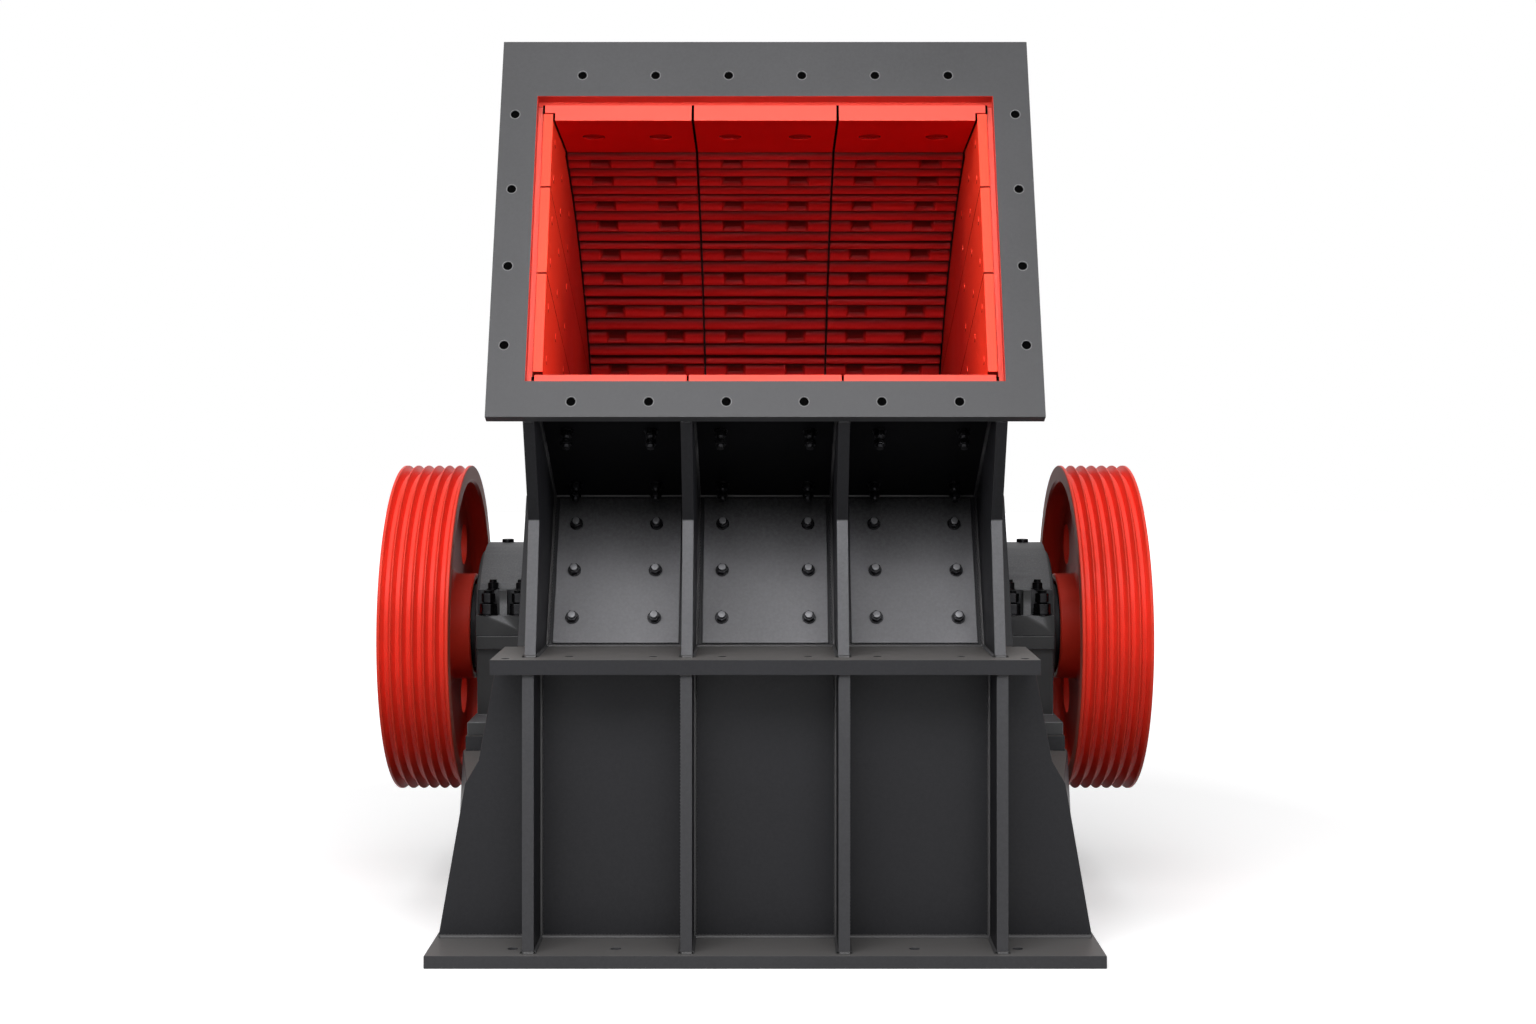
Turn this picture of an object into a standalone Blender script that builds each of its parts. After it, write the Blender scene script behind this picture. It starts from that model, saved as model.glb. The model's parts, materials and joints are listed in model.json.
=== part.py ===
# Hammer crusher: a two-part welded casing on a base plate, lined feed chute with a
# bolted flange, and a hammer rotor whose shaft carries a grooved pulley at each end.
# Metres, +Z up, feed mouth towards -Y, shaft along X. The casing outlines are drawn
# with y measured from the rotor axis and z from the ground.

from math import acos, asin, cos, degrees, hypot, pi, radians, sin, sqrt, tan

import bmesh
import bpy
from mathutils import Matrix, Vector

# Clearances
GAP = 0.0003                  # between pieces that touch in the real machine
NOTCH_CLEARANCE = 0.015       # casing walls round the shaft
TIP_CLEARANCE = 0.045         # hammer tips to the front liner
ROTOR_SIDE_CLEARANCE = 0.051  # end discs to the side liners
SPLIT_BAR_CLEARANCE = 0.009   # bearing housing to the split flange

# Heights and the split between the two casing halves
AXIS_HEIGHT = 0.947
SPLIT_THICKNESS = 0.046
BASE_THICKNESS = 0.040
BASE_FRONT_MARGIN = 0.026
BASE_REAR_MARGIN = 0.040
BASE_SIDE_MARGIN = 0.010
DISCHARGE_MARGIN = 0.120      # base strip kept inside the lower walls
ANCHOR_HOLE_RADIUS = 0.016
ANCHOR_HOLE_INSET = 0.092
ANCHOR_HOLES_X = (0.465, 0.786)

# Casing
CASE_HALF_WIDTH = 0.750
SIDE_WALL_THICKNESS = 0.024
RIB_THICKNESS = 0.036
LOWER_WALL_THICKNESS = 0.030
LOWER_FRONT_Y = -0.865        # outer face of the lower front wall
LOWER_RIB_DEPTH = 0.203
REAR_WALL_INSET = 0.040       # lower rear wall in from the foot of the back shell
WING_FOOT = 0.290             # lower wall's wings beyond the side wall, from foot to top
WING_SHOULDER = 0.205
WING_KINK = 0.162
WING_TOP = 0.107
SHOULDER_DROP = 0.049         # wing corners below and above the console's top
KINK_RISE = 0.024

# Upper casing
FRONT_FOOT_Y = -0.691
KNEE_Y = -0.426
KNEE_RISE = 0.482             # above the split plane
PANEL_THICKNESS = 0.025
PANEL_WING = 0.060            # lower front panel beyond the side wall
RIB_FOOT_Y = -1.008
RIB_WAIST_Y = -0.900
RIB_WAIST_RISE = 0.422
TOP_SLOPE = radians(6.3)
TOP_LENGTH = 0.383            # flat top, from the feed flange to the back's curve
BACK_RADIUS = 2.633           # inner face of the back liners
BACK_START = radians(68.0)    # where the curve starts, above the horizontal
BACK_FACETS = 20              # flats of the curve, on all but the ridges
SHELL_THICKNESS = 0.025
BACK_RIB_DEPTH = 0.120

# Feed flange
FLANGE_FOOT_Y = -1.090
FLANGE_FOOT_RISE = 0.748      # above the split plane
FLANGE_LEAN = radians(21.0)
FLANGE_THICKNESS = 0.040
FLANGE_SIDE = 0.120
FLANGE_BOTTOM = 0.120
FLANGE_TOP = 0.205
MOUTH_LENGTH = 1.002          # opening, measured up the slope
MOUTH_SEAT = 0.0075           # casing plates stand this far behind the flange's rim
MOUTH_FOOT_SEAT = 0.040       # the front panel, below the mouth
FLANGE_HOLE_RADIUS = 0.015
FLANGE_HOLE_BOTTOM = 0.051
FLANGE_HOLE_TOP = 0.127
FLANGE_HOLE_SIDE = 0.049
FLANGE_ROW = 6                # holes along the top and the bottom
FLANGE_COLUMN = 4             # holes up each side
FLANGE_ROW_STEP = 0.240

# Split flange
SPLIT_FRONT_OVERHANG = 0.013  # beyond the lower ribs
SPLIT_REAR_OVERHANG = 0.020
SPLIT_END_WING = 0.098        # front and rear bars beyond the side walls
SPLIT_SIDE_WING = 0.056
SPLIT_SIDE_INNER = 0.050
SPLIT_BAR_DEPTH = 0.381
SPLIT_REAR_BAR_DEPTH = 0.184
SPLIT_HOLE_RADIUS = 0.013
SPLIT_HOLE_INSET = 0.098
SPLIT_HOLES_X = (0.134, 0.350, 0.612)
SPLIT_END_HOLE_INSET = 0.043

# Liners
SIDE_LINER = 0.035
FRONT_LINER = 0.035
BACK_LINER = 0.056
LINER_RECESS = 0.010          # liner ends behind the flange's front face
LINER_SEAM = 0.004
BACK_COLUMN_HALF = 0.236      # half of the middle column of back liners
PLATES = 8                    # ribbed plates down the back
RIDGES = 5                    # ridges on each plate
RIDGE_HEIGHT = 0.018
NARROW_RIDGE = (0.18, 0.36, 0.64, 0.82)    # foot, top and foot, as shares of the ridge's pitch
BROAD_RIDGE = (0.06, 0.20, 0.80, 0.94)
BROAD_RIDGES = (1, 3)         # of each plate, counted from 0; these carry the bolt pockets
POCKET_WIDTH = 0.060
POCKET_FLOOR = 0.004          # pocket's floor above the plate's face
POCKET_SHARES = (0.26, 0.755)              # of the middle column's width

# Flats of the round forms
HOLE_SEGMENTS = 8
SHAFT_SEGMENTS = 32
PULLEY_SEGMENTS = 32
PIN_SEGMENTS = 12
WEB_HOLE_SEGMENTS = 20
NOTCH_STEPS = 12
CAP_STEPS = 20
HAMMER_EYE_STEPS = 8
HAMMER_TIP_STEPS = 6

# Shaft and rotor
ROTOR_SEAT_RADIUS = 0.130
SHAFT_BODY_RADIUS = 0.115
JOURNAL_RADIUS = 0.100
PULLEY_SEAT_RADIUS = 0.090
SHOULDER_LENGTH = 0.030       # rotor seat beyond the end discs
DISCS = 4
DISC_THICKNESS = 0.080
DISC_DROP = 0.100             # disc edge below the hammer tips
PIN_DROP = 0.165              # pin circle below the hammer tips
PIN_RADIUS = 0.036
HAMMER_ROWS = 4
HAMMER_WIDTH_SHARE = 0.75     # of the space between two discs
HAMMER_EYE_RADIUS = 0.068
HAMMER_HEAD_HALF = 0.092
HAMMER_HEAD_LENGTH = 0.080

# Bearings and their seats
CENTRE_HEIGHT = 0.320         # shaft above the pedestal plate
PEDESTAL_THICKNESS = 0.049
PEDESTAL_REACH = 0.254        # out from the side wall
CONSOLE_REACH = 0.262
BEARING_WIDTH = 0.175
BEARING_FOOT_WIDTH = 0.195
BEARING_FOOT_THICKNESS = 0.045
CAP_RADIUS = 0.300
BODY_EXTRA = 0.030            # half-lengths beyond the cap's radius
BEARING_FLANGE_EXTRA = 0.055
BEARING_FOOT_EXTRA = 0.200
PEDESTAL_EXTRA = 0.210
HOUSING_FLANGE_LOWER = 0.047
HOUSING_FLANGE_UPPER = 0.068
CAP_SHOULDER_RISE = 0.153
END_COVER_CLEARANCE = 0.003   # end cover above the housing's foot
END_COVER_THICKNESS = 0.017

# Pulleys
PULLEY_RADIUS = 0.575
GROOVES = 6
GROOVE_PITCH = 0.037
GROOVE_DEPTH = 0.028
GROOVE_HALF_TOP = 0.016
GROOVE_HALF_ANGLE = radians(19.0)
END_LAND = 0.0265             # pulley edge to the middle of the first groove
RIM_THICKNESS = 0.059
WEB_THICKNESS = 0.045
WEB_SETBACK = 0.068           # inboard edge of the rim to the web
HUB_RADIUS = 0.187
HUB_LENGTH = 0.170
HUB_STANDOFF = 0.053          # end cover to hub
RIM_OVERHANG = 0.006          # rim inboard of the hub
WEB_HOLES = 4
WEB_HOLE_RADIUS = 0.075
WEB_HOLE_CIRCLE = 0.390
SHAFT_END = 0.010             # shaft beyond the hub

# Places that follow from the sizes above
SPLIT_TOP = AXIS_HEIGHT
SPLIT_BOTTOM = SPLIT_TOP - SPLIT_THICKNESS
ABOVE_SPLIT = SPLIT_TOP + GAP
SHELL_OUTER = BACK_LINER + GAP + SHELL_THICKNESS
LINER_HALF_WIDTH = CASE_HALF_WIDTH - SIDE_WALL_THICKNESS - GAP
CHAMBER_HALF_WIDTH = LINER_HALF_WIDTH - SIDE_LINER
RIB_X = CASE_HALF_WIDTH - RIB_THICKNESS / 2
RIB_CENTRES = (-RIB_X, -RIB_X / 3, RIB_X / 3, RIB_X)
MOUTH_HALF_WIDTH = CASE_HALF_WIDTH - MOUTH_SEAT
FLANGE_HALF_WIDTH = MOUTH_HALF_WIDTH + FLANGE_SIDE
FLANGE_LENGTH = FLANGE_BOTTOM + MOUTH_LENGTH + FLANGE_TOP
PEDESTAL_TOP = AXIS_HEIGHT - CENTRE_HEIGHT
CONSOLE_TOP = PEDESTAL_TOP - PEDESTAL_THICKNESS - GAP
BEARING_INNER_X = CASE_HALF_WIDTH + SPLIT_SIDE_WING + SPLIT_BAR_CLEARANCE
BEARING_OUTER_X = BEARING_INNER_X + BEARING_WIDTH
END_COVER_X = BEARING_OUTER_X + GAP + END_COVER_THICKNESS
END_COVER_RADIUS = CENTRE_HEIGHT - BEARING_FOOT_THICKNESS - END_COVER_CLEARANCE
HUB_INNER_X = END_COVER_X + HUB_STANDOFF
HUB_OUTER_X = HUB_INNER_X + HUB_LENGTH
RIM_INNER_X = HUB_INNER_X - RIM_OVERHANG
PULLEY_FACE = 2 * END_LAND + (GROOVES - 1) * GROOVE_PITCH
DISC_END_X = CHAMBER_HALF_WIDTH - ROTOR_SIDE_CLEARANCE
DISC_PITCH = (2 * DISC_END_X - DISC_THICKNESS) / (DISCS - 1)
PULLEY_BORE = PULLEY_SEAT_RADIUS + GAP
DISC_BORE = ROTOR_SEAT_RADIUS + GAP

CHARCOAL = ((0.045, 0.045, 0.049), 0.55, 0.1)
PANEL_GREY = ((0.070, 0.070, 0.075), 0.45, 0.15)
CASTING = ((0.110, 0.112, 0.118), 0.6, 0.2)
RED = ((0.75, 0.035, 0.014), 0.45, 0.0)
STEEL = ((0.19, 0.19, 0.20), 0.4, 0.9)


def clear_scene():
    for obj in list(bpy.data.objects):
        bpy.data.objects.remove(obj, do_unlink=True)


def add_empty(name, place):
    empty = bpy.data.objects.new(name, None)
    empty.location = place
    bpy.context.scene.collection.objects.link(empty)
    return empty


def add_object(name, bm, finish, parent):
    """Turn a bmesh into an object under the given empty, with its own material."""
    bmesh.ops.recalc_face_normals(bm, faces=bm.faces[:])
    mesh = bpy.data.meshes.new(name)
    bm.to_mesh(mesh)
    bm.free()
    obj = bpy.data.objects.new(name, mesh)
    obj.parent = parent
    bpy.context.scene.collection.objects.link(obj)
    if finish is not None:
        colour, roughness, metallic = finish
        material = bpy.data.materials.new(name)
        material.use_nodes = True
        shader = material.node_tree.nodes["Principled BSDF"]
        shader.inputs["Base Color"].default_value = (*colour, 1.0)
        shader.inputs["Roughness"].default_value = roughness
        shader.inputs["Metallic"].default_value = metallic
        mesh.materials.append(material)
    return obj


def shade_round(obj):
    obj.data.shade_smooth()
    obj.data.set_sharp_from_angle(angle=radians(30.0))


def prism(outline, axis, low, high, bm=None):
    """Extrude a flat outline along X, Y or Z; the outline holds the other two."""
    bm = bm or bmesh.new()
    places = {
        "X": lambda a, b: (low, a, b),
        "Y": lambda a, b: (a, low, b),
        "Z": lambda a, b: (a, b, low),
    }
    corners = [bm.verts.new(places[axis](a, b)) for a, b in outline]
    face = bm.faces.new(corners)
    push = Vector((axis == "X", axis == "Y", axis == "Z")) * (high - low)
    made = bmesh.ops.extrude_face_region(bm, geom=[face])["geom"]
    moved = [item for item in made if isinstance(item, bmesh.types.BMVert)]
    bmesh.ops.translate(bm, verts=moved, vec=push)
    return bm


def rectangle(low_a, high_a, low_b, high_b):
    return [(low_a, low_b), (high_a, low_b), (high_a, high_b), (low_a, high_b)]


def turned(profile, segments, closed):
    """Spin a profile of (x, radius) points about the X axis."""
    bm = bmesh.new()
    points = [bm.verts.new((x, 0.0, radius)) for x, radius in profile]
    ends = points + points[:1] if closed else points
    edges = [bm.edges.new(pair) for pair in zip(ends[:-1], ends[1:])]
    bmesh.ops.spin(bm, geom=points + edges, cent=(0, 0, 0), axis=(1, 0, 0),
                   angle=2 * pi, steps=segments, use_merge=True, use_duplicate=False)
    bmesh.ops.remove_doubles(bm, verts=bm.verts[:], dist=1e-6)
    return bm


def arc(centre, radius, start, stop, steps):
    """Points on an arc, with the angles in degrees from +Y towards +Z."""
    step = (stop - start) / steps
    turns = [radians(start + step * index) for index in range(steps + 1)]
    return [(centre[0] + radius * cos(turn), centre[1] + radius * sin(turn)) for turn in turns]


def rods(centres, axis, radius, half_length, segments):
    """A cutter of separate rods that share one direction."""
    bm = bmesh.new()
    turn = axis.to_track_quat("Z", "Y").to_matrix().to_4x4()
    for centre in centres:
        place = Matrix.Translation(centre) @ turn
        bmesh.ops.create_cone(bm, cap_ends=True, segments=segments, radius1=radius,
                              radius2=radius, depth=2 * half_length, matrix=place)
    return bm


def combine(target, bm, operation, parent):
    """Cut the cutter's bmesh from an object, or join it on."""
    label = operation.lower() + "_" + str(len(target.modifiers) + 1)
    tool = add_object(target.name + "_" + label, bm, None, parent)
    tool.hide_render = True
    tool.display_type = "WIRE"
    modifier = target.modifiers.new(label, "BOOLEAN")
    modifier.operation = operation
    modifier.solver = "EXACT"
    modifier.object = tool


def mirrored(outline):
    return [(-a, b) for a, b in reversed(outline)]


def meet(point_a, way_a, point_b, way_b):
    """Where two lines of the casing's side view cross."""
    across = way_a[0] * way_b[1] - way_a[1] * way_b[0]
    gap_y = point_b[0] - point_a[0]
    gap_z = point_b[1] - point_a[1]
    step = (gap_y * way_b[1] - gap_z * way_b[0]) / across
    return (point_a[0] + way_a[0] * step, point_a[1] + way_a[1] * step)


def direction(start, end):
    length = hypot(end[0] - start[0], end[1] - start[1])
    return ((end[0] - start[0]) / length, (end[1] - start[1]) / length)


def on_flange(rise, inward):
    """A point of the feed flange's section: up its slope, and in from its front."""
    y = FLANGE_FOOT_Y + rise * sin(FLANGE_LEAN) + inward * cos(FLANGE_LEAN)
    z = SPLIT_TOP + FLANGE_FOOT_RISE + rise * cos(FLANGE_LEAN) - inward * sin(FLANGE_LEAN)
    return (y, z)


def front_path(depth, reach):
    """Foot, knee and mouth of the front, the given depth inside its outer face."""
    foot = (FRONT_FOOT_Y, SPLIT_TOP)
    knee = (KNEE_Y, SPLIT_TOP + KNEE_RISE)
    mouth = on_flange(FLANGE_BOTTOM - MOUTH_FOOT_SEAT, FLANGE_THICKNESS)
    lower = direction(foot, knee)
    upper = direction(knee, mouth)
    on_lower = (foot[0] + lower[1] * depth, foot[1] - lower[0] * depth)
    on_upper = (knee[0] + upper[1] * depth, knee[1] - upper[0] * depth)
    slope = (sin(FLANGE_LEAN), cos(FLANGE_LEAN))
    return [
        meet(on_lower, lower, (0.0, ABOVE_SPLIT), (1.0, 0.0)),
        meet(on_lower, lower, on_upper, upper),
        meet(on_upper, upper, on_flange(0.0, reach), slope),
    ]


def front_plates(depth, thickness, reach):
    """Outlines of the front's lower and upper plates, which meet at the knee."""
    outer = front_path(depth, reach)
    inner = front_path(depth + thickness, reach)
    way = direction(outer[1], outer[2])
    shift = (way[0] * GAP, way[1] * GAP)
    lower = [outer[0], outer[1], inner[1], inner[0]]
    upper = [(outer[1][0] + shift[0], outer[1][1] + shift[1]), outer[2], inner[2],
             (inner[1][0] + shift[0], inner[1][1] + shift[1])]
    return lower, upper


def top_line(offset):
    """A point and the direction of the chute's top, offset out from the liner's face."""
    rise = FLANGE_BOTTOM + MOUTH_LENGTH + MOUTH_SEAT
    outer = on_flange(rise, FLANGE_THICKNESS)
    shift = offset - SHELL_OUTER
    point = (outer[0] + sin(TOP_SLOPE) * shift, outer[1] + cos(TOP_SLOPE) * shift)
    return point, (cos(TOP_SLOPE), -sin(TOP_SLOPE))


def back_centre():
    """Centre of the back's curve, set by where the flat top ends."""
    point, way = top_line(0.0)
    start_y = point[0] + way[0] * TOP_LENGTH
    start_z = point[1] + way[1] * TOP_LENGTH
    return (start_y - BACK_RADIUS * cos(BACK_START), start_z - BACK_RADIUS * sin(BACK_START))


BACK_CENTRE = back_centre()
BACK_END = asin((SPLIT_TOP - BACK_CENTRE[1]) / BACK_RADIUS)
RIDGE_ANGLE = (BACK_START - BACK_END) / (PLATES * RIDGES)


def on_back(turn, offset):
    radius = BACK_RADIUS + offset
    return (BACK_CENTRE[0] + radius * cos(turn), BACK_CENTRE[1] + radius * sin(turn))


def back_path(offset, reach):
    """The back from the mouth to the split, offset out from the liner's inner face."""
    spare = 3                                   # facets run on past both ends
    facet = (BACK_START - BACK_END) / BACK_FACETS
    turns = [BACK_START + facet * (spare - index) for index in range(BACK_FACETS + 2 * spare + 1)]
    chain = [on_back(turn, offset) for turn in turns]
    point, way = top_line(offset)
    slope = (sin(FLANGE_LEAN), cos(FLANGE_LEAN))
    path = [meet(point, way, on_flange(0.0, reach), slope)]
    for start, end in zip(chain[:-1], chain[1:]):
        if end[1] > point[1] + way[1] / way[0] * (end[0] - point[0]):
            continue
        if len(path) == 1:
            path.append(meet(point, way, start, direction(start, end)))
        if end[1] <= ABOVE_SPLIT:
            path.append(meet(start, direction(start, end), (0.0, ABOVE_SPLIT), (1.0, 0.0)))
            break
        path.append(end)
    return path


def ribbed_path(reach):
    """The inner face of a column of back liners, with its ridges."""
    plain = back_path(0.0, reach)
    path = [plain[0], on_back(BACK_START, 0.0)]
    for index in range(PLATES * RIDGES):
        start = BACK_START - RIDGE_ANGLE * index
        shares = BROAD_RIDGE if index % RIDGES in BROAD_RIDGES else NARROW_RIDGE
        for share, height in zip(shares, (0.0, RIDGE_HEIGHT, RIDGE_HEIGHT, 0.0)):
            path.append(on_back(start - RIDGE_ANGLE * share, -height))
    path.append(plain[-1])
    return path


def pocket_places():
    """Middles of the bolt pockets across the back, two to a column of liners."""
    middle = BACK_COLUMN_HALF * (POCKET_SHARES[1] - POCKET_SHARES[0])
    side = (BACK_COLUMN_HALF + LINER_HALF_WIDTH - SIDE_LINER) / 2
    spread = (LINER_HALF_WIDTH - SIDE_LINER - BACK_COLUMN_HALF) / 2
    half = spread * (POCKET_SHARES[1] - POCKET_SHARES[0])
    return [-side - half, -side + half, -middle, middle, side - half, side + half]


def pocket_cutter(places):
    """Blocks that notch the broad ridges of every plate."""
    bm = bmesh.new()
    for plate in range(PLATES):
        for ridge in BROAD_RIDGES:
            index = plate * RIDGES + ridge
            turns = [BACK_START - RIDGE_ANGLE * (index + share) for share in (0.0, 1.0)]
            outline = [on_back(turns[0], -POCKET_FLOOR), on_back(turns[1], -POCKET_FLOOR),
                       on_back(turns[1], -2 * RIDGE_HEIGHT), on_back(turns[0], -2 * RIDGE_HEIGHT)]
            for x in places:
                prism(outline, "X", x - POCKET_WIDTH / 2, x + POCKET_WIDTH / 2, bm)
    return bm


REAR_FOOT_Y = back_path(SHELL_OUTER, FLANGE_THICKNESS)[-1][0]
LOWER_REAR_Y = REAR_FOOT_Y - REAR_WALL_INSET
LOWER_RIB_FRONT = LOWER_FRONT_Y - LOWER_RIB_DEPTH
LOWER_RIB_REAR = REAR_FOOT_Y + BACK_RIB_DEPTH
BASE_FRONT = LOWER_RIB_FRONT - BASE_FRONT_MARGIN
BASE_REAR = LOWER_RIB_REAR + BASE_REAR_MARGIN
AXIS_Y = -(BASE_FRONT + BASE_REAR) / 2
BASE_HALF_WIDTH = CASE_HALF_WIDTH + WING_FOOT + BASE_SIDE_MARGIN
LOWER_INNER_FRONT = LOWER_FRONT_Y + LOWER_WALL_THICKNESS
LOWER_INNER_REAR = LOWER_REAR_Y - LOWER_WALL_THICKNESS
ON_BASE = BASE_THICKNESS + GAP
UNDER_SPLIT = SPLIT_BOTTOM - GAP
NOTCH_RADIUS = SHAFT_BODY_RADIUS + NOTCH_CLEARANCE


def liner_distance():
    """From the rotor axis to the inner face of the lower front liner."""
    foot = (FRONT_FOOT_Y, SPLIT_TOP)
    way = direction(foot, (KNEE_Y, SPLIT_TOP + KNEE_RISE))
    return -foot[0] * way[1] - PANEL_THICKNESS - GAP - FRONT_LINER


TIP_RADIUS = liner_distance() - TIP_CLEARANCE
DISC_RADIUS = TIP_RADIUS - DISC_DROP
PIN_CIRCLE = TIP_RADIUS - PIN_DROP


def shaft_notch():
    """The round over the shaft, in the feet of the upper side plates."""
    notch = arc((0.0, AXIS_HEIGHT), NOTCH_RADIUS, 0.0, 180.0, NOTCH_STEPS)
    notch[0] = (NOTCH_RADIUS, ABOVE_SPLIT)
    notch[-1] = (-NOTCH_RADIUS, ABOVE_SPLIT)
    return notch


def build_base(frame):
    outline = rectangle(-BASE_HALF_WIDTH, BASE_HALF_WIDTH, BASE_FRONT, BASE_REAR)
    base = add_object("base_plate", prism(outline, "Z", 0.0, BASE_THICKNESS), CHARCOAL, frame)
    half = CASE_HALF_WIDTH - DISCHARGE_MARGIN
    opening = rectangle(-half, half, LOWER_INNER_FRONT + DISCHARGE_MARGIN,
                        LOWER_INNER_REAR - DISCHARGE_MARGIN)
    bm = prism(opening, "Z", -BASE_THICKNESS, 2 * BASE_THICKNESS)
    combine(base, bm, "DIFFERENCE", frame)
    rows = (BASE_FRONT + ANCHOR_HOLE_INSET, BASE_REAR - ANCHOR_HOLE_INSET)
    centres = [Vector((side * x, y, BASE_THICKNESS / 2))
               for x in ANCHOR_HOLES_X for side in (-1, 1) for y in rows]
    holes = rods(centres, Vector((0, 0, 1)), ANCHOR_HOLE_RADIUS, BASE_THICKNESS, HOLE_SEGMENTS)
    combine(base, holes, "DIFFERENCE", frame)


def build_lower_casing(frame):
    right = [
        (CASE_HALF_WIDTH + WING_FOOT, ON_BASE),
        (CASE_HALF_WIDTH + WING_SHOULDER, CONSOLE_TOP - SHOULDER_DROP),
        (CASE_HALF_WIDTH + WING_KINK, CONSOLE_TOP + KINK_RISE),
        (CASE_HALF_WIDTH + WING_TOP, UNDER_SPLIT),
    ]
    wall = right + mirrored(right)
    for name, y in (("lower_front_wall", LOWER_FRONT_Y), ("lower_rear_wall", LOWER_INNER_REAR)):
        add_object(name, prism(wall, "Y", y, y + LOWER_WALL_THICKNESS), PANEL_GREY, frame)

    notch = sqrt(NOTCH_RADIUS ** 2 - (AXIS_HEIGHT - UNDER_SPLIT) ** 2)
    dip = degrees(acos(notch / NOTCH_RADIUS))
    front = LOWER_INNER_FRONT + GAP
    rear = LOWER_INNER_REAR - GAP
    side = [(front, ON_BASE), (rear, ON_BASE), (rear, UNDER_SPLIT)]
    side += arc((0.0, AXIS_HEIGHT), NOTCH_RADIUS, -dip, dip - 180.0, NOTCH_STEPS)
    side += [(front, UNDER_SPLIT)]
    inner = CASE_HALF_WIDTH - SIDE_WALL_THICKNESS
    for name, low in (("lower_side_wall_left", -CASE_HALF_WIDTH), ("lower_side_wall_right", inner)):
        bm = prism(side, "X", low, low + SIDE_WALL_THICKNESS)
        add_object(name, bm, CHARCOAL, frame)

    for index, x in enumerate(RIB_CENTRES, 1):
        low = x - RIB_THICKNESS / 2
        front = rectangle(LOWER_RIB_FRONT, LOWER_FRONT_Y - GAP, ON_BASE, UNDER_SPLIT)
        rear = rectangle(LOWER_REAR_Y + GAP, LOWER_RIB_REAR, ON_BASE, UNDER_SPLIT)
        for name, outline in (("lower_front_rib_", front), ("lower_rear_rib_", rear)):
            bm = prism(outline, "X", low, low + RIB_THICKNESS)
            add_object(name + str(index), bm, CHARCOAL, frame)


def build_console(frame, name, side):
    """Closed box beside the casing that carries a bearing, narrower at both ends."""
    inner = CASE_HALF_WIDTH + GAP
    foot = CASE_HALF_WIDTH + WING_FOOT
    end_top = CONSOLE_TOP - SHOULDER_DROP
    half = CAP_RADIUS + PEDESTAL_EXTRA
    stations = [
        (LOWER_INNER_FRONT + GAP, CASE_HALF_WIDTH + WING_SHOULDER, end_top),
        (-half, CASE_HALF_WIDTH + CONSOLE_REACH, CONSOLE_TOP),
        (half, CASE_HALF_WIDTH + CONSOLE_REACH, CONSOLE_TOP),
        (LOWER_INNER_REAR - GAP, CASE_HALF_WIDTH + WING_SHOULDER, end_top),
    ]
    bm = bmesh.new()
    rings = []
    for y, outer, top in stations:
        corners = ((inner, ON_BASE), (foot, ON_BASE), (outer, top), (inner, top))
        rings.append([bm.verts.new((side * x, y, z)) for x, z in corners])
    for ring, following in zip(rings[:-1], rings[1:]):
        for index in range(len(ring)):
            bm.faces.new((ring[index], ring[index - 1], following[index - 1], following[index]))
    bm.faces.new(rings[0])
    bm.faces.new(rings[-1])
    add_object(name, bm, PANEL_GREY, frame)


def build_split_flange(frame):
    side_outer = CASE_HALF_WIDTH + SPLIT_SIDE_WING
    side_inner = CASE_HALF_WIDTH - SPLIT_SIDE_INNER
    end = CASE_HALF_WIDTH + SPLIT_END_WING
    front_edge = LOWER_RIB_FRONT - SPLIT_FRONT_OVERHANG
    rear_edge = LOWER_RIB_REAR + SPLIT_REAR_OVERHANG
    front_inner = front_path(PANEL_THICKNESS + GAP + FRONT_LINER, FLANGE_THICKNESS)[0][0]
    rear_inner = ribbed_path(FLANGE_THICKNESS)[-1][0]
    halves = (
        ("split_flange_front", front_edge, front_edge + SPLIT_BAR_DEPTH, front_inner, -NOTCH_RADIUS),
        ("split_flange_rear", rear_edge, rear_edge - SPLIT_REAR_BAR_DEPTH, rear_inner, NOTCH_RADIUS),
    )
    for name, edge, step, inner, notch in halves:
        right = [(end, edge), (end, step), (side_outer, step), (side_outer, notch),
                 (side_inner, notch), (side_inner, inner)]
        outline = right + mirrored(right)
        bar = add_object(name, prism(outline, "Z", SPLIT_BOTTOM, SPLIT_TOP), CHARCOAL, frame)
        toward = 1 if edge < 0 else -1
        spots = [(side * x, edge + toward * SPLIT_HOLE_INSET)
                 for x in SPLIT_HOLES_X for side in (-1, 1)]
        spots += [(side * (end - SPLIT_END_HOLE_INSET), edge + toward * SPLIT_END_HOLE_INSET)
                  for side in (-1, 1)]
        centres = [Vector((x, y, SPLIT_TOP - SPLIT_THICKNESS / 2)) for x, y in spots]
        holes = rods(centres, Vector((0, 0, 1)), SPLIT_HOLE_RADIUS, SPLIT_THICKNESS, HOLE_SEGMENTS)
        combine(bar, holes, "DIFFERENCE", frame)


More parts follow.
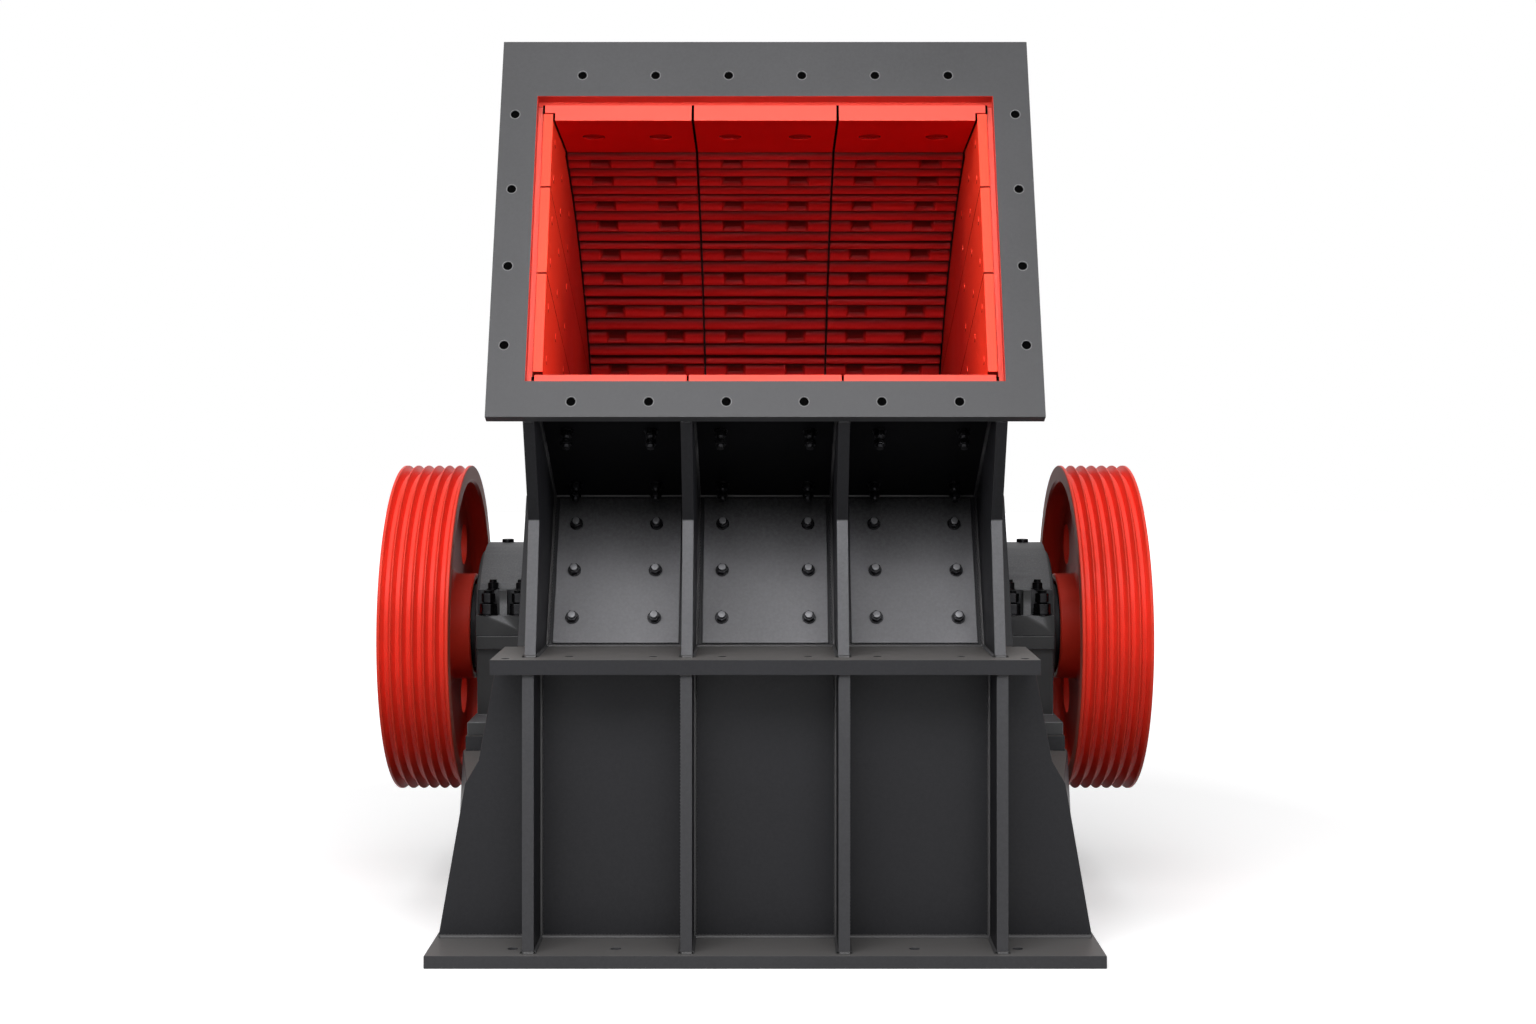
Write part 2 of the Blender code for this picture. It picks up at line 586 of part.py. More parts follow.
def build_upper_casing(frame):
    behind = FLANGE_THICKNESS + GAP
    lower, upper = front_plates(0.0, PANEL_THICKNESS, behind)
    wing = CASE_HALF_WIDTH + PANEL_WING
    add_object("front_panel_lower", prism(lower, "X", -wing, wing), PANEL_GREY, frame)
    bm = prism(upper, "X", -CASE_HALF_WIDTH, CASE_HALF_WIDTH)
    add_object("front_panel_upper", bm, PANEL_GREY, frame)

    shell = back_path(BACK_LINER + GAP, behind) + back_path(SHELL_OUTER, behind)[::-1]
    bm = prism(shell, "X", -CASE_HALF_WIDTH, CASE_HALF_WIDTH)
    add_object("back_shell", bm, CHARCOAL, frame)

    front = front_path(PANEL_THICKNESS + GAP, behind)
    back = back_path(BACK_LINER, behind)
    wall = front + back + shaft_notch()
    inner_x = CASE_HALF_WIDTH - SIDE_WALL_THICKNESS
    for name, low in (("upper_side_wall_left", -CASE_HALF_WIDTH), ("upper_side_wall_right", inner_x)):
        bm = prism(wall, "X", low, low + SIDE_WALL_THICKNESS)
        add_object(name, bm, CHARCOAL, frame)

    against = front_path(-GAP, behind)
    rib = [(RIB_FOOT_Y, ABOVE_SPLIT), (RIB_WAIST_Y, SPLIT_TOP + RIB_WAIST_RISE),
           on_flange(0.0, behind), against[2], against[1], against[0]]
    spine = back_path(SHELL_OUTER + GAP, behind)
    spine += back_path(SHELL_OUTER + BACK_RIB_DEPTH, behind)[::-1]
    for index, x in enumerate(RIB_CENTRES, 1):
        low = x - RIB_THICKNESS / 2
        for name, outline in (("upper_front_rib_", rib), ("back_rib_", spine)):
            bm = prism(outline, "X", low, low + RIB_THICKNESS)
            add_object(name + str(index), bm, CHARCOAL, frame)


def build_feed_flange(frame):
    section = [on_flange(0.0, 0.0), on_flange(FLANGE_LENGTH, 0.0),
               on_flange(FLANGE_LENGTH, FLANGE_THICKNESS), on_flange(0.0, FLANGE_THICKNESS)]
    bm = prism(section, "X", -FLANGE_HALF_WIDTH, FLANGE_HALF_WIDTH)
    flange = add_object("feed_flange", bm, PANEL_GREY, frame)
    top = FLANGE_BOTTOM + MOUTH_LENGTH
    mouth = [on_flange(FLANGE_BOTTOM, -FLANGE_THICKNESS), on_flange(top, -FLANGE_THICKNESS),
             on_flange(top, 2 * FLANGE_THICKNESS), on_flange(FLANGE_BOTTOM, 2 * FLANGE_THICKNESS)]
    bm = prism(mouth, "X", -MOUTH_HALF_WIDTH, MOUTH_HALF_WIDTH)
    combine(flange, bm, "DIFFERENCE", frame)

    side_x = FLANGE_HALF_WIDTH - FLANGE_HOLE_SIDE
    row = [(index - (FLANGE_ROW - 1) / 2) * FLANGE_ROW_STEP for index in range(FLANGE_ROW)]
    spots = [(x, FLANGE_HOLE_BOTTOM) for x in row]
    spots += [(x, FLANGE_LENGTH - FLANGE_HOLE_TOP) for x in row]
    rise = (FLANGE_LENGTH - 2 * FLANGE_SIDE) / FLANGE_COLUMN
    spots += [(side * side_x, 2 * FLANGE_SIDE + rise * index)
              for index in range(FLANGE_COLUMN) for side in (-1, 1)]
    centres = [Vector((x, *on_flange(up, FLANGE_THICKNESS / 2))) for x, up in spots]
    out = Vector((0.0, -cos(FLANGE_LEAN), sin(FLANGE_LEAN)))
    holes = rods(centres, out, FLANGE_HOLE_RADIUS, FLANGE_THICKNESS, HOLE_SEGMENTS)
    combine(flange, holes, "DIFFERENCE", frame)


def build_liners(frame):
    column = ribbed_path(LINER_RECESS) + back_path(BACK_LINER, LINER_RECESS)[::-1]
    half_seam = LINER_SEAM / 2
    columns = (
        ("back_liner_left", -LINER_HALF_WIDTH, -BACK_COLUMN_HALF - half_seam),
        ("back_liner_middle", -BACK_COLUMN_HALF + half_seam, BACK_COLUMN_HALF - half_seam),
        ("back_liner_right", BACK_COLUMN_HALF + half_seam, LINER_HALF_WIDTH),
    )
    places = pocket_places()
    for index, (name, low, high) in enumerate(columns):
        liner = add_object(name, prism(column, "X", low, high), RED, frame)
        combine(liner, pocket_cutter(places[2 * index:2 * index + 2]), "DIFFERENCE", frame)

    plates = front_plates(PANEL_THICKNESS + GAP, FRONT_LINER, FLANGE_THICKNESS + GAP)
    for name, plate in zip(("front_liner_lower", "front_liner_upper"), plates):
        bm = prism(plate, "X", -LINER_HALF_WIDTH, LINER_HALF_WIDTH)
        add_object(name, bm, RED, frame)

    front = front_path(PANEL_THICKNESS + FRONT_LINER + 2 * GAP, LINER_RECESS)
    back = back_path(-RIDGE_HEIGHT - GAP, LINER_RECESS)
    sheet = front + back + shaft_notch()
    for name, low in (("side_liner_left", -LINER_HALF_WIDTH), ("side_liner_right", CHAMBER_HALF_WIDTH)):
        add_object(name, prism(sheet, "X", low, low + SIDE_LINER), RED, frame)


def build_bearing(frame, name, side):
    """Split plummer block: pedestal plate, lower housing, cap and end cover."""
    def place(low, high):
        return sorted((side * low, side * high))

    half = CAP_RADIUS + PEDESTAL_EXTRA
    low, high = place(CASE_HALF_WIDTH + GAP, CASE_HALF_WIDTH + PEDESTAL_REACH)
    plate = rectangle(-half, half, PEDESTAL_TOP - PEDESTAL_THICKNESS, PEDESTAL_TOP)
    add_object("pedestal_plate_" + name, prism(plate, "X", low, high), CHARCOAL, frame)

    bore = (JOURNAL_RADIUS + GAP) / cos(pi / SHAFT_SEGMENTS)
    turns = SHAFT_SEGMENTS // 2
    body = CAP_RADIUS + BODY_EXTRA
    wide = CAP_RADIUS + BEARING_FLANGE_EXTRA
    joint = AXIS_HEIGHT - GAP / 2
    under = AXIS_HEIGHT - HOUSING_FLANGE_LOWER
    foot_top = PEDESTAL_TOP + GAP + BEARING_FOOT_THICKNESS
    saddle = arc((0.0, AXIS_HEIGHT), bore, -180.0, 0.0, turns)
    saddle[0] = (-bore, joint)
    saddle[-1] = (bore, joint)
    housing = saddle + [(wide, joint), (wide, under), (body, under), (body, foot_top - GAP),
                        (-body, foot_top - GAP), (-body, under), (-wide, under), (-wide, joint)]
    low, high = place(BEARING_INNER_X, BEARING_OUTER_X)
    base = add_object("bearing_base_" + name, prism(housing, "X", low, high), CASTING, frame)
    middle = (BEARING_INNER_X + BEARING_OUTER_X) / 2
    low, high = place(middle - BEARING_FOOT_WIDTH / 2, middle + BEARING_FOOT_WIDTH / 2)
    long = CAP_RADIUS + BEARING_FOOT_EXTRA
    foot = rectangle(-long, long, PEDESTAL_TOP + GAP, foot_top)
    combine(base, prism(foot, "X", low, high), "UNION", frame)

    joint = AXIS_HEIGHT + GAP / 2
    over = AXIS_HEIGHT + HOUSING_FLANGE_UPPER
    shoulder = AXIS_HEIGHT + CAP_SHOULDER_RISE
    tilt = degrees(asin(CAP_SHOULDER_RISE / CAP_RADIUS))
    saddle = arc((0.0, AXIS_HEIGHT), bore, 180.0, 0.0, turns)
    saddle[0] = (-bore, joint)
    saddle[-1] = (bore, joint)
    crown = arc((0.0, AXIS_HEIGHT), CAP_RADIUS, tilt, 180.0 - tilt, CAP_STEPS)
    cap = saddle + [(wide, joint), (wide, over), (body, over), (body, shoulder)]
    cap += crown + [(-body, shoulder), (-body, over), (-wide, over), (-wide, joint)]
    low, high = place(BEARING_INNER_X, BEARING_OUTER_X)
    shade_round(add_object("bearing_cap_" + name, prism(cap, "X", low, high), CASTING, frame))

    near, far = place(BEARING_OUTER_X + GAP, END_COVER_X)
    ring = turned([(near, bore), (near, END_COVER_RADIUS), (far, END_COVER_RADIUS), (far, bore)],
                  SHAFT_SEGMENTS, True)
    bmesh.ops.translate(ring, verts=ring.verts[:], vec=(0.0, 0.0, AXIS_HEIGHT))
    shade_round(add_object("bearing_end_cover_" + name, ring, CASTING, frame))


def build_shaft(rotor):
    seat = DISC_END_X + SHOULDER_LENGTH
    steps = ((seat, ROTOR_SEAT_RADIUS), (BEARING_INNER_X - SPLIT_BAR_CLEARANCE, SHAFT_BODY_RADIUS),
             (HUB_INNER_X - GAP, JOURNAL_RADIUS), (HUB_OUTER_X + SHAFT_END, PULLEY_SEAT_RADIUS))
    right = []
    for x, radius in steps:
        if right:
            right.append((right[-1][0], radius))
        right.append((x, radius))
    right.append((steps[-1][0], 0.0))
    profile = [(-x, radius) for x, radius in reversed(right)] + right
    shade_round(add_object("main_shaft", turned(profile, SHAFT_SEGMENTS, False), STEEL, rotor))


def pin_centres():
    turns = [2 * pi * (row + 0.5) / HAMMER_ROWS for row in range(HAMMER_ROWS)]
    return [(turn, Vector((0.0, PIN_CIRCLE * cos(turn), PIN_CIRCLE * sin(turn)))) for turn in turns]


def build_rotor(rotor):
    along = Vector((1.0, 0.0, 0.0))
    for index in range(DISCS):
        middle = (index - (DISCS - 1) / 2) * DISC_PITCH
        low = middle - DISC_THICKNESS / 2
        high = middle + DISC_THICKNESS / 2
        ring = turned([(low, DISC_BORE), (low, DISC_RADIUS), (high, DISC_RADIUS), (high, DISC_BORE)],
                      SHAFT_SEGMENTS, True)
        disc = add_object("rotor_disc_" + str(index + 1), ring, STEEL, rotor)
        shade_round(disc)
        centres = [centre + Vector((middle, 0, 0)) for turn, centre in pin_centres()]
        holes = rods(centres, along, PIN_RADIUS + GAP, DISC_THICKNESS, PIN_SEGMENTS)
        combine(disc, holes, "DIFFERENCE", rotor)

    space = DISC_PITCH - DISC_THICKNESS
    width = space * HAMMER_WIDTH_SHARE
    eye = arc((0.0, PIN_CIRCLE), HAMMER_EYE_RADIUS, 180.0, 360.0, HAMMER_EYE_STEPS)
    head = TIP_RADIUS - HAMMER_HEAD_LENGTH
    lean = degrees(asin(HAMMER_HEAD_HALF / TIP_RADIUS))
    tip = arc((0.0, 0.0), TIP_RADIUS, 90.0 - lean, 90.0 + lean, HAMMER_TIP_STEPS)
    hammer = eye + [(HAMMER_HEAD_HALF, head)] + tip + [(-HAMMER_HEAD_HALF, head)]
    for row, (turn, centre) in enumerate(pin_centres(), 1):
        pin = rods([centre], along, PIN_RADIUS, DISC_END_X, PIN_SEGMENTS)
        obj = add_object("hammer_row_" + str(row), pin, STEEL, rotor)
        shade_round(obj)
        bm = bmesh.new()
        for index in range(DISCS - 1):
            middle = (index - (DISCS - 2) / 2) * DISC_PITCH
            prism(hammer, "X", middle - width / 2, middle + width / 2, bm)
        bmesh.ops.rotate(bm, verts=bm.verts[:], cent=(0, 0, 0),
                         matrix=Matrix.Rotation(turn - pi / 2, 3, "X"))
        combine(obj, bm, "UNION", rotor)


def build_pulley(rotor, name, side):
    """Grooved belt pulley: rim with V grooves, web with round holes, and hub."""
    outer = RIM_INNER_X + PULLEY_FACE
    half_bottom = GROOVE_HALF_TOP - GROOVE_DEPTH * tan(GROOVE_HALF_ANGLE)
    rim_inner = PULLEY_RADIUS - RIM_THICKNESS
    web_near = RIM_INNER_X + WEB_SETBACK
    web_far = web_near + WEB_THICKNESS
    profile = [(RIM_INNER_X, rim_inner), (RIM_INNER_X, PULLEY_RADIUS)]
    for index in range(GROOVES):
        middle = RIM_INNER_X + END_LAND + GROOVE_PITCH * index
        floor = PULLEY_RADIUS - GROOVE_DEPTH
        profile += [(middle - GROOVE_HALF_TOP, PULLEY_RADIUS), (middle - half_bottom, floor),
                    (middle + half_bottom, floor), (middle + GROOVE_HALF_TOP, PULLEY_RADIUS)]
    profile += [(outer, PULLEY_RADIUS), (outer, rim_inner), (web_far, rim_inner),
                (web_far, HUB_RADIUS), (HUB_OUTER_X, HUB_RADIUS), (HUB_OUTER_X, PULLEY_BORE),
                (HUB_INNER_X, PULLEY_BORE), (HUB_INNER_X, HUB_RADIUS), (web_near, HUB_RADIUS),
                (web_near, rim_inner)]
    profile = [(side * x, radius) for x, radius in profile]
    pulley = add_object("pulley_" + name, turned(profile, PULLEY_SEGMENTS, True), RED, rotor)
    shade_round(pulley)
    middle = side * (web_near + web_far) / 2
    turns = [2 * pi * (index + 0.5) / WEB_HOLES for index in range(WEB_HOLES)]
    centres = [Vector((middle, WEB_HOLE_CIRCLE * cos(turn), WEB_HOLE_CIRCLE * sin(turn)))
               for turn in turns]
    holes = rods(centres, Vector((1, 0, 0)), WEB_HOLE_RADIUS, WEB_THICKNESS, WEB_HOLE_SEGMENTS)
    combine(pulley, holes, "DIFFERENCE", rotor)


def main():
    clear_scene()
    frame = add_empty("casing_origin", (0.0, AXIS_Y, 0.0))
    rotor = add_empty("rotor_axis", (0.0, AXIS_Y, AXIS_HEIGHT))
    build_base(frame)
    build_lower_casing(frame)
    build_split_flange(frame)
    build_upper_casing(frame)
    build_feed_flange(frame)
    build_liners(frame)
    build_shaft(rotor)
    build_rotor(rotor)
    for name, side in (("left", -1), ("right", 1)):
        build_console(frame, "console_" + name, side)
        build_bearing(frame, name, side)
        build_pulley(rotor, name, side)
    bpy.context.view_layer.update()


main()
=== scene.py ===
import json
import math
import random

import bmesh
import bpy
from mathutils import Matrix, Vector


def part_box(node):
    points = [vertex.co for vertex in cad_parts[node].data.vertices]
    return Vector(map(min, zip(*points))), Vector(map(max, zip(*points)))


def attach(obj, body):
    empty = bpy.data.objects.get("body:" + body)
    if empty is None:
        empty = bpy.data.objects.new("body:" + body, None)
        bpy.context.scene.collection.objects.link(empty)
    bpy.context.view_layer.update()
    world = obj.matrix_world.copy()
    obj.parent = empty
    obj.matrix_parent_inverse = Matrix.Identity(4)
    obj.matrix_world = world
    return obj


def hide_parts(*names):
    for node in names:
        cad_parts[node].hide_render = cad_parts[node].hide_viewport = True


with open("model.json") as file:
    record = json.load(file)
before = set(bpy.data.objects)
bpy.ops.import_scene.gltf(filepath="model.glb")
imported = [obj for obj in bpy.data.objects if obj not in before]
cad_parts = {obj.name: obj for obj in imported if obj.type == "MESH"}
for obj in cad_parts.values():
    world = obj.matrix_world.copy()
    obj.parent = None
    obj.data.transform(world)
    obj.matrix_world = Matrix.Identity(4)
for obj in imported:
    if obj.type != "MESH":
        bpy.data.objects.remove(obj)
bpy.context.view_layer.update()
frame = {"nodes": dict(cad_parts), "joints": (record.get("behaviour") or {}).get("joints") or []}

cadNodes = frame["nodes"]
rotorAxis = Vector(frame["joints"][0]["pos_m"])
random.seed(11)


# Small helpers

def makeActive(obj, *others):
    for chosen in bpy.context.selected_objects:
        chosen.select_set(False)
    for chosen in (obj, *others):
        chosen.select_set(True)
    bpy.context.view_layer.objects.active = obj


def applyModifier(obj, kind, **settings):
    makeActive(obj)
    modifier = obj.modifiers.new(kind, kind)
    for key, value in settings.items():
        setattr(modifier, key, value)
    bpy.ops.object.modifier_apply(modifier=modifier.name)


def bevelEdges(obj, width, angle, segments=2):
    applyModifier(obj, "BEVEL", width=width, segments=segments, limit_method="ANGLE",
                  angle_limit=math.radians(angle))


def smooth(obj, angle):
    # large flat faces keep their own normals beside the eased edges
    makeActive(obj)
    bpy.ops.object.shade_smooth_by_angle(angle=math.radians(angle))
    applyModifier(obj, "WEIGHTED_NORMAL", keep_sharp=True)


def joinAll(objects, name):
    makeActive(*objects)
    if len(objects) > 1:
        bpy.ops.object.join()
    objects[0].name = name
    return objects[0]


def drop(*objects):
    for obj in objects:
        bpy.data.objects.remove(obj, do_unlink=True)


def moved(obj, matrix):
    obj.data.transform(matrix)
    return obj


def setMode(mode):
    bpy.ops.object.mode_set(mode=mode)


def selectAll():
    bpy.ops.mesh.select_all(action="SELECT")


def pairs(items):
    return zip(items[:-1], items[1:])


def mirror(points):
    return [(-across, up) for across, up in reversed(points)]


def wayAt(turn):
    return Vector((math.cos(turn), math.sin(turn)))


def copyOf(obj, matrix=Matrix()):
    twin = obj.copy()
    twin.data = obj.data.copy()
    bpy.context.scene.collection.objects.link(twin)
    return moved(twin, matrix)


def scatter(master, name, matrices):
    piece = joinAll([copyOf(master, matrix) for matrix in matrices], name)
    drop(master)
    return piece


def at(x, y, z):
    return Matrix.Translation((x, y, z))


def turned(angle, axis):
    return Matrix.Rotation(math.radians(angle), 4, axis)


def turnTo(way):
    return Vector(way).to_track_quat("Z", "Y").to_matrix().to_4x4()


def place(obj, name, body, slot, material, node=None):
    obj.name = name
    obj.data.materials.clear()
    obj.data.materials.append(materials[material])
    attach(obj, body)
    if node:
        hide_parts(node)


def finishPiece(parts, name, slot, material, node=None, bevel=None, angle=35.0, body="frame", shift=Matrix()):
    # bevel holds its width and the least angle of the edges that it eases
    piece = joinAll(parts, name)
    if bevel:
        bevelEdges(piece, *bevel)
    smooth(piece, angle)
    place(moved(piece, shift), name, body, slot, material, node)


onAxis = at(0.0, rotorAxis.y, rotorAxis.z)


# Where the casing's lines run, as (y, z) in its side view

casing = {
    "gap": 0.0003,
    "splitTop": 0.947,
    "splitThickness": 0.046,
    "baseThickness": 0.040,
    "halfWidth": 0.750,
    "ribThickness": 0.036,
    "ribCentres": (-0.732, -0.244, 0.244, 0.732),
    "ribFoot": (-1.008, 0.0),
    "wingEdge": 1.036,
    "frontFoot": (-0.691, 0.0),
    "knee": (-0.426, 0.482),
    "lowerFront": -0.865,
    "lowerRibFront": -1.068,
    "flangeFoot": (-1.090, 0.748),
    "flangeLean": math.radians(21.0),
    "flangeThickness": 0.040,
    "flangeLength": 1.327,
    "flangeBottom": 0.120,
    "mouthLength": 1.002,
    "mouthSeat": 0.0075,
    "mouthFootSeat": 0.040,
    "topSlope": math.radians(6.3),
    "topLength": 0.383,
    "backRadius": 2.633,
    "backStart": math.radians(68.0),
    "shellThickness": 0.025,
    "backLiner": 0.056,
    "frontLiner": 0.035,
    "panel": 0.025,
    "linerRecess": 0.010,
    "openingHalf": 0.743,
    "linerHalfWidth": 0.7257,
    "chamberHalfWidth": 0.6907,
}
gap, splitTop, baseTop, recess, thick = (
    casing[key] for key in ("gap", "splitTop", "baseThickness", "linerRecess", "flangeThickness"))
backRadius, backStart, backLiner, mouthLow = (
    casing[key] for key in ("backRadius", "backStart", "backLiner", "flangeBottom"))
splitUnder, mouthTop = splitTop - casing["splitThickness"], mouthLow + casing["mouthLength"]
ribs, ribHalf = casing["ribCentres"], casing["ribThickness"] / 2
bays = list(zip((-casing["wingEdge"], *[x + ribHalf for x in ribs]),
                (*[x - ribHalf for x in ribs], casing["wingEdge"])))
inwardWay = wayAt(-casing["flangeLean"])
slopeWay = Vector((-inwardWay.y, inwardWay.x))
panelFace = casing["panel"] + gap
linerFace = panelFace + casing["frontLiner"]


def fromSplit(place):
    return Vector((place[0] + rotorAxis.y, place[1] + splitTop))


def onFlange(rise, inward):
    return fromSplit(casing["flangeFoot"]) + slopeWay * rise + inwardWay * inward


def meet(pointA, wayA, pointB, wayB):
    across = wayA.x * wayB.y - wayA.y * wayB.x
    between = pointB - pointA
    return pointA + wayA * ((between.x * wayB.y - between.y * wayB.x) / across)


def waysFrom(start, end):
    way = (end - start).normalized()
    return way, Vector((-way.y, way.x))


frontFoot, kneePoint = fromSplit(casing["frontFoot"]), fromSplit(casing["knee"])
mouthFoot = onFlange(mouthLow - casing["mouthFootSeat"], thick)
lowerWay, lowerOut = waysFrom(frontFoot, kneePoint)       # out of the lower panel, to the front
upperWay, upperOut = waysFrom(kneePoint, mouthFoot)       # out of the overhang, downwards
topWay = wayAt(-casing["topSlope"])
topOut = Vector((-topWay.y, topWay.x))
shellOuter = backLiner + gap + casing["shellThickness"]
topCorner = onFlange(mouthTop + casing["mouthSeat"], thick)


def topPoint(offset):
    return topCorner + topOut * (offset - shellOuter)


def topMouth(offset, reach):
    return meet(topPoint(offset), topWay, onFlange(0.0, reach), slopeWay)


curveStart = topPoint(0.0) + topWay * casing["topLength"]
startWay = wayAt(backStart)
backCentre = curveStart - startWay * backRadius
backEnd = math.asin((splitTop - backCentre.y) / backRadius)


def onBack(turn, offset):
    return backCentre + wayAt(turn) * (backRadius + offset)


def backArc(offset, steps):
    return [onBack(backStart - (backStart - backEnd) * index / steps, offset) for index in range(steps + 1)]


def frontPath(depth, reach):
    onLower = frontFoot - lowerOut * depth
    onUpper = kneePoint - upperOut * depth
    return [meet(onLower, lowerWay, Vector((0.0, splitTop + gap)), Vector((1.0, 0.0))),
            meet(onLower, lowerWay, onUpper, upperWay),
            meet(onUpper, upperWay, onFlange(0.0, reach), slopeWay)]


# Materials: inputs that are sockets are linked, and plain values are set

def setInputs(node, inputs):
    for key, value in inputs.items():
        if hasattr(value, "links"):
            node.id_data.links.new(value, node.inputs[key])
        else:
            node.inputs[key].default_value = value


def addNode(kind, inputs, output=0, **settings):
    tree = next(value.id_data for value in inputs.values() if hasattr(value, "links"))
    node = tree.nodes.new("ShaderNode" + kind)
    for key, value in settings.items():
        setattr(node, key, value)
    setInputs(node, inputs)
    return node.outputs[output]


def nodeTree(name):
    material = bpy.data.materials.new(name)
    material.use_nodes = True
    nodes = material.node_tree.nodes
    return material, nodes["Principled BSDF"], nodes.new("ShaderNodeTexCoord").outputs["Object"]


noises = {
    # scale, detail and roughness
    "cloud": (2.6, 5.0, 0.55),
    "speck": (95.0, 3.0, 0.7),
    "fine": (420.0, 2.0, 0.55),
    "wave": (16.0, 3.0, 0.55),
    "castCloud": (7.0, 5.0, 0.55),
    "castSpeck": (210.0, 2.0, 0.7),
    "castGrain": (150.0, 3.0, 0.6),
    "castWave": (22.0, 2.0, 0.55),
    "steelCloud": (9.0, 4.0, 0.55),
    "steelRough": (60.0, 3.0, 0.6),
    "steelGrain": (260.0, 2.0, 0.55),
}


def noise(where, key):
    scale, detail, roughness = noises[key]
    return addNode("TexNoise", {"Vector": where, "Scale": scale, "Detail": detail, "Roughness": roughness},
                   "Fac")


def remap(value, low, high, outLow=0.0, outHigh=1.0):
    return addNode("MapRange", {"Value": value, "From Min": low, "From Max": high, "To Min": outLow,
                                "To Max": outHigh}, "Result")


def calculate(operation, first, second=0.0):
    return addNode("Math", {0: first, 1: second}, operation=operation)


def multiply(first, second):
    return calculate("MULTIPLY", first, second)


def mixColours(factor, *colours):
    first, second = (colour if hasattr(colour, "links") else (*colour, 1.0) for colour in colours)
    return addNode("Mix", {0: factor, 6: first, 7: second}, 2, data_type="RGBA")


def along(where, way):
    return addNode("VectorMath", {0: where, 1: way}, "Value", operation="DOT_PRODUCT")


def scaled(colour, value):
    return addNode("VectorMath", {0: colour, "Scale": value}, operation="SCALE")


def addBumps(shader, *layers):
    before = {}
    for height, strength, distance in layers:
        inputs = {"Strength": strength, "Distance": distance, "Height": height, **before}
        before = {"Normal": addNode("Bump", inputs, "Normal")}
    setInputs(shader, before)


def past(where, way, point):
    # where the surface lies past a point of the side view, along a way in it
    return calculate("GREATER_THAN", along(where, (0.0, *way)), point.dot(way))


def shade(colour, factor):
    return tuple(min(1.0, part * factor) for part in colour)


def clouded(cloud, colour, low, high):
    return mixColours(remap(cloud, 0.3, 0.7), shade(colour, low), shade(colour, high))


axisX, axisY, axisZ = (1.0, 0.0, 0.0), (0.0, 1.0, 0.0), (0.0, 0.0, 1.0)


def normalOf(where):
    return where.node.outputs["Normal"]


def facing(where, way, least):
    # where the surface looks along the given way, to either side of it
    toward = calculate("ABSOLUTE", along(normalOf(where), way))
    return remap(toward, least - 0.04, least + 0.04)


redEdges = {
    "behindFlange": 0.0018,
    "aroundOpening": 0.001,
    "besideOpening": 0.0005,
}


def redMask(where, kind):
    # the casing's ends behind the flange, or the edges of the flange's opening
    if kind == "ends":
        return past(where, -inwardWay, onFlange(0.0, thick + redEdges["behindFlange"]))
    low, high = mouthLow - redEdges["aroundOpening"], mouthTop + redEdges["aroundOpening"]
    inside = multiply(past(where, slopeWay, onFlange(low, 0.0)), past(where, -slopeWay, onFlange(high, 0.0)))
    across = calculate("ABSOLUTE", along(where, axisX))
    return multiply(inside, calculate("LESS_THAN", across, casing["openingHalf"] + redEdges["besideOpening"]))


grooveShading = {
    # painted shade and highlight on the back liners: levels by how proud the surface stands, a pinker crest,
    # darker rows towards the top, darker upward-leaning flanks, a darker top plate with darker dishes, and a
    # salmon front edge
    "ramp": ((0.0, 0.12), (0.25, 0.28), (0.70, 0.75), (1.0, 1.0)),
    "crestHighlight": (0.92, 0.028, 0.028),
    "crestFrom": 0.80,
    "rim": (0.78, 0.085, 0.062),
    "rimDepth": 0.004,
    "heights": (1.30, 2.60),
    "heightShades": (1.08, 0.72),
    "leanShades": (1.05, 0.50),
    "topShade": 0.78,
    "dishShade": 0.42,
    "dishFrom": (0.0015, 0.05),
    "ridge": 0.018,
}


def grooveShadingTint(where, colour):
    # painted shade darkens the grooves and pocket floors, and a painted highlight lightens the ridge crests
    part = addNode("SeparateXYZ", {0: where}).node.outputs
    across = calculate("SUBTRACT", part["Y"], backCentre.x)
    height = calculate("SUBTRACT", part["Z"], backCentre.y)
    flat = addNode("CombineXYZ", {"Y": across, "Z": height})
    reach = addNode("VectorMath", {0: flat}, "Value", operation="LENGTH")
    proud = remap(reach, backRadius, backRadius - grooveShading["ridge"])
    ramp = addNode("ValToRGB", {"Fac": proud}, "Color")
    stops = ramp.node.color_ramp.elements
    for index, (share, level) in enumerate(grooveShading["ramp"]):
        stop = stops[index] if index < 2 else stops.new(share)
        stop.position = share
        stop.color = (level, level, level, 1.0)
    # painted shade: the rows grow darker towards the top
    depth = remap(part["Z"], *grooveShading["heights"], *grooveShading["heightShades"])
    # how far the surface leans up along the curve; painted shade darkens the flanks that lean up
    normal = addNode("SeparateXYZ", {0: normalOf(where)}).node.outputs
    rising = calculate("SUBTRACT", multiply(across, normal["Z"]), multiply(height, normal["Y"]))
    lean = remap(rising, -0.5 * backRadius, 0.5 * backRadius, *grooveShading["leanShades"])
    # painted highlight: a pinker tone on the ridge crests
    ridged = mixColours(remap(proud, grooveShading["crestFrom"], 1.0), colour, grooveShading["crestHighlight"])
    plates = scaled(scaled(scaled(ridged, ramp), depth), lean)
    # painted shade on the top plate and in its dishes, and a painted highlight on its front edge
    above, behind = grooveShading["dishFrom"]
    dish = multiply(past(where, topOut, topPoint(above)), past(where, inwardWay, onFlange(0.0, behind)))
    front = past(where, -inwardWay, onFlange(0.0, recess + grooveShading["rimDepth"]))
    plate = mixColours(front, shade(colour, grooveShading["topShade"]), grooveShading["rim"])
    top = mixColours(dish, plate, shade(colour, grooveShading["dishShade"]))
    return mixColours(past(where, Vector((0.0, 1.0)), curveStart), plates, top)


depthShading = {
    "reach": (0.03, 0.75),
    "deepest": (0.42, 0.008, 0.006),
    "under": (0.120, 0.003, 0.002),
    "gap": (0.004, 0.001, 0.001),
}


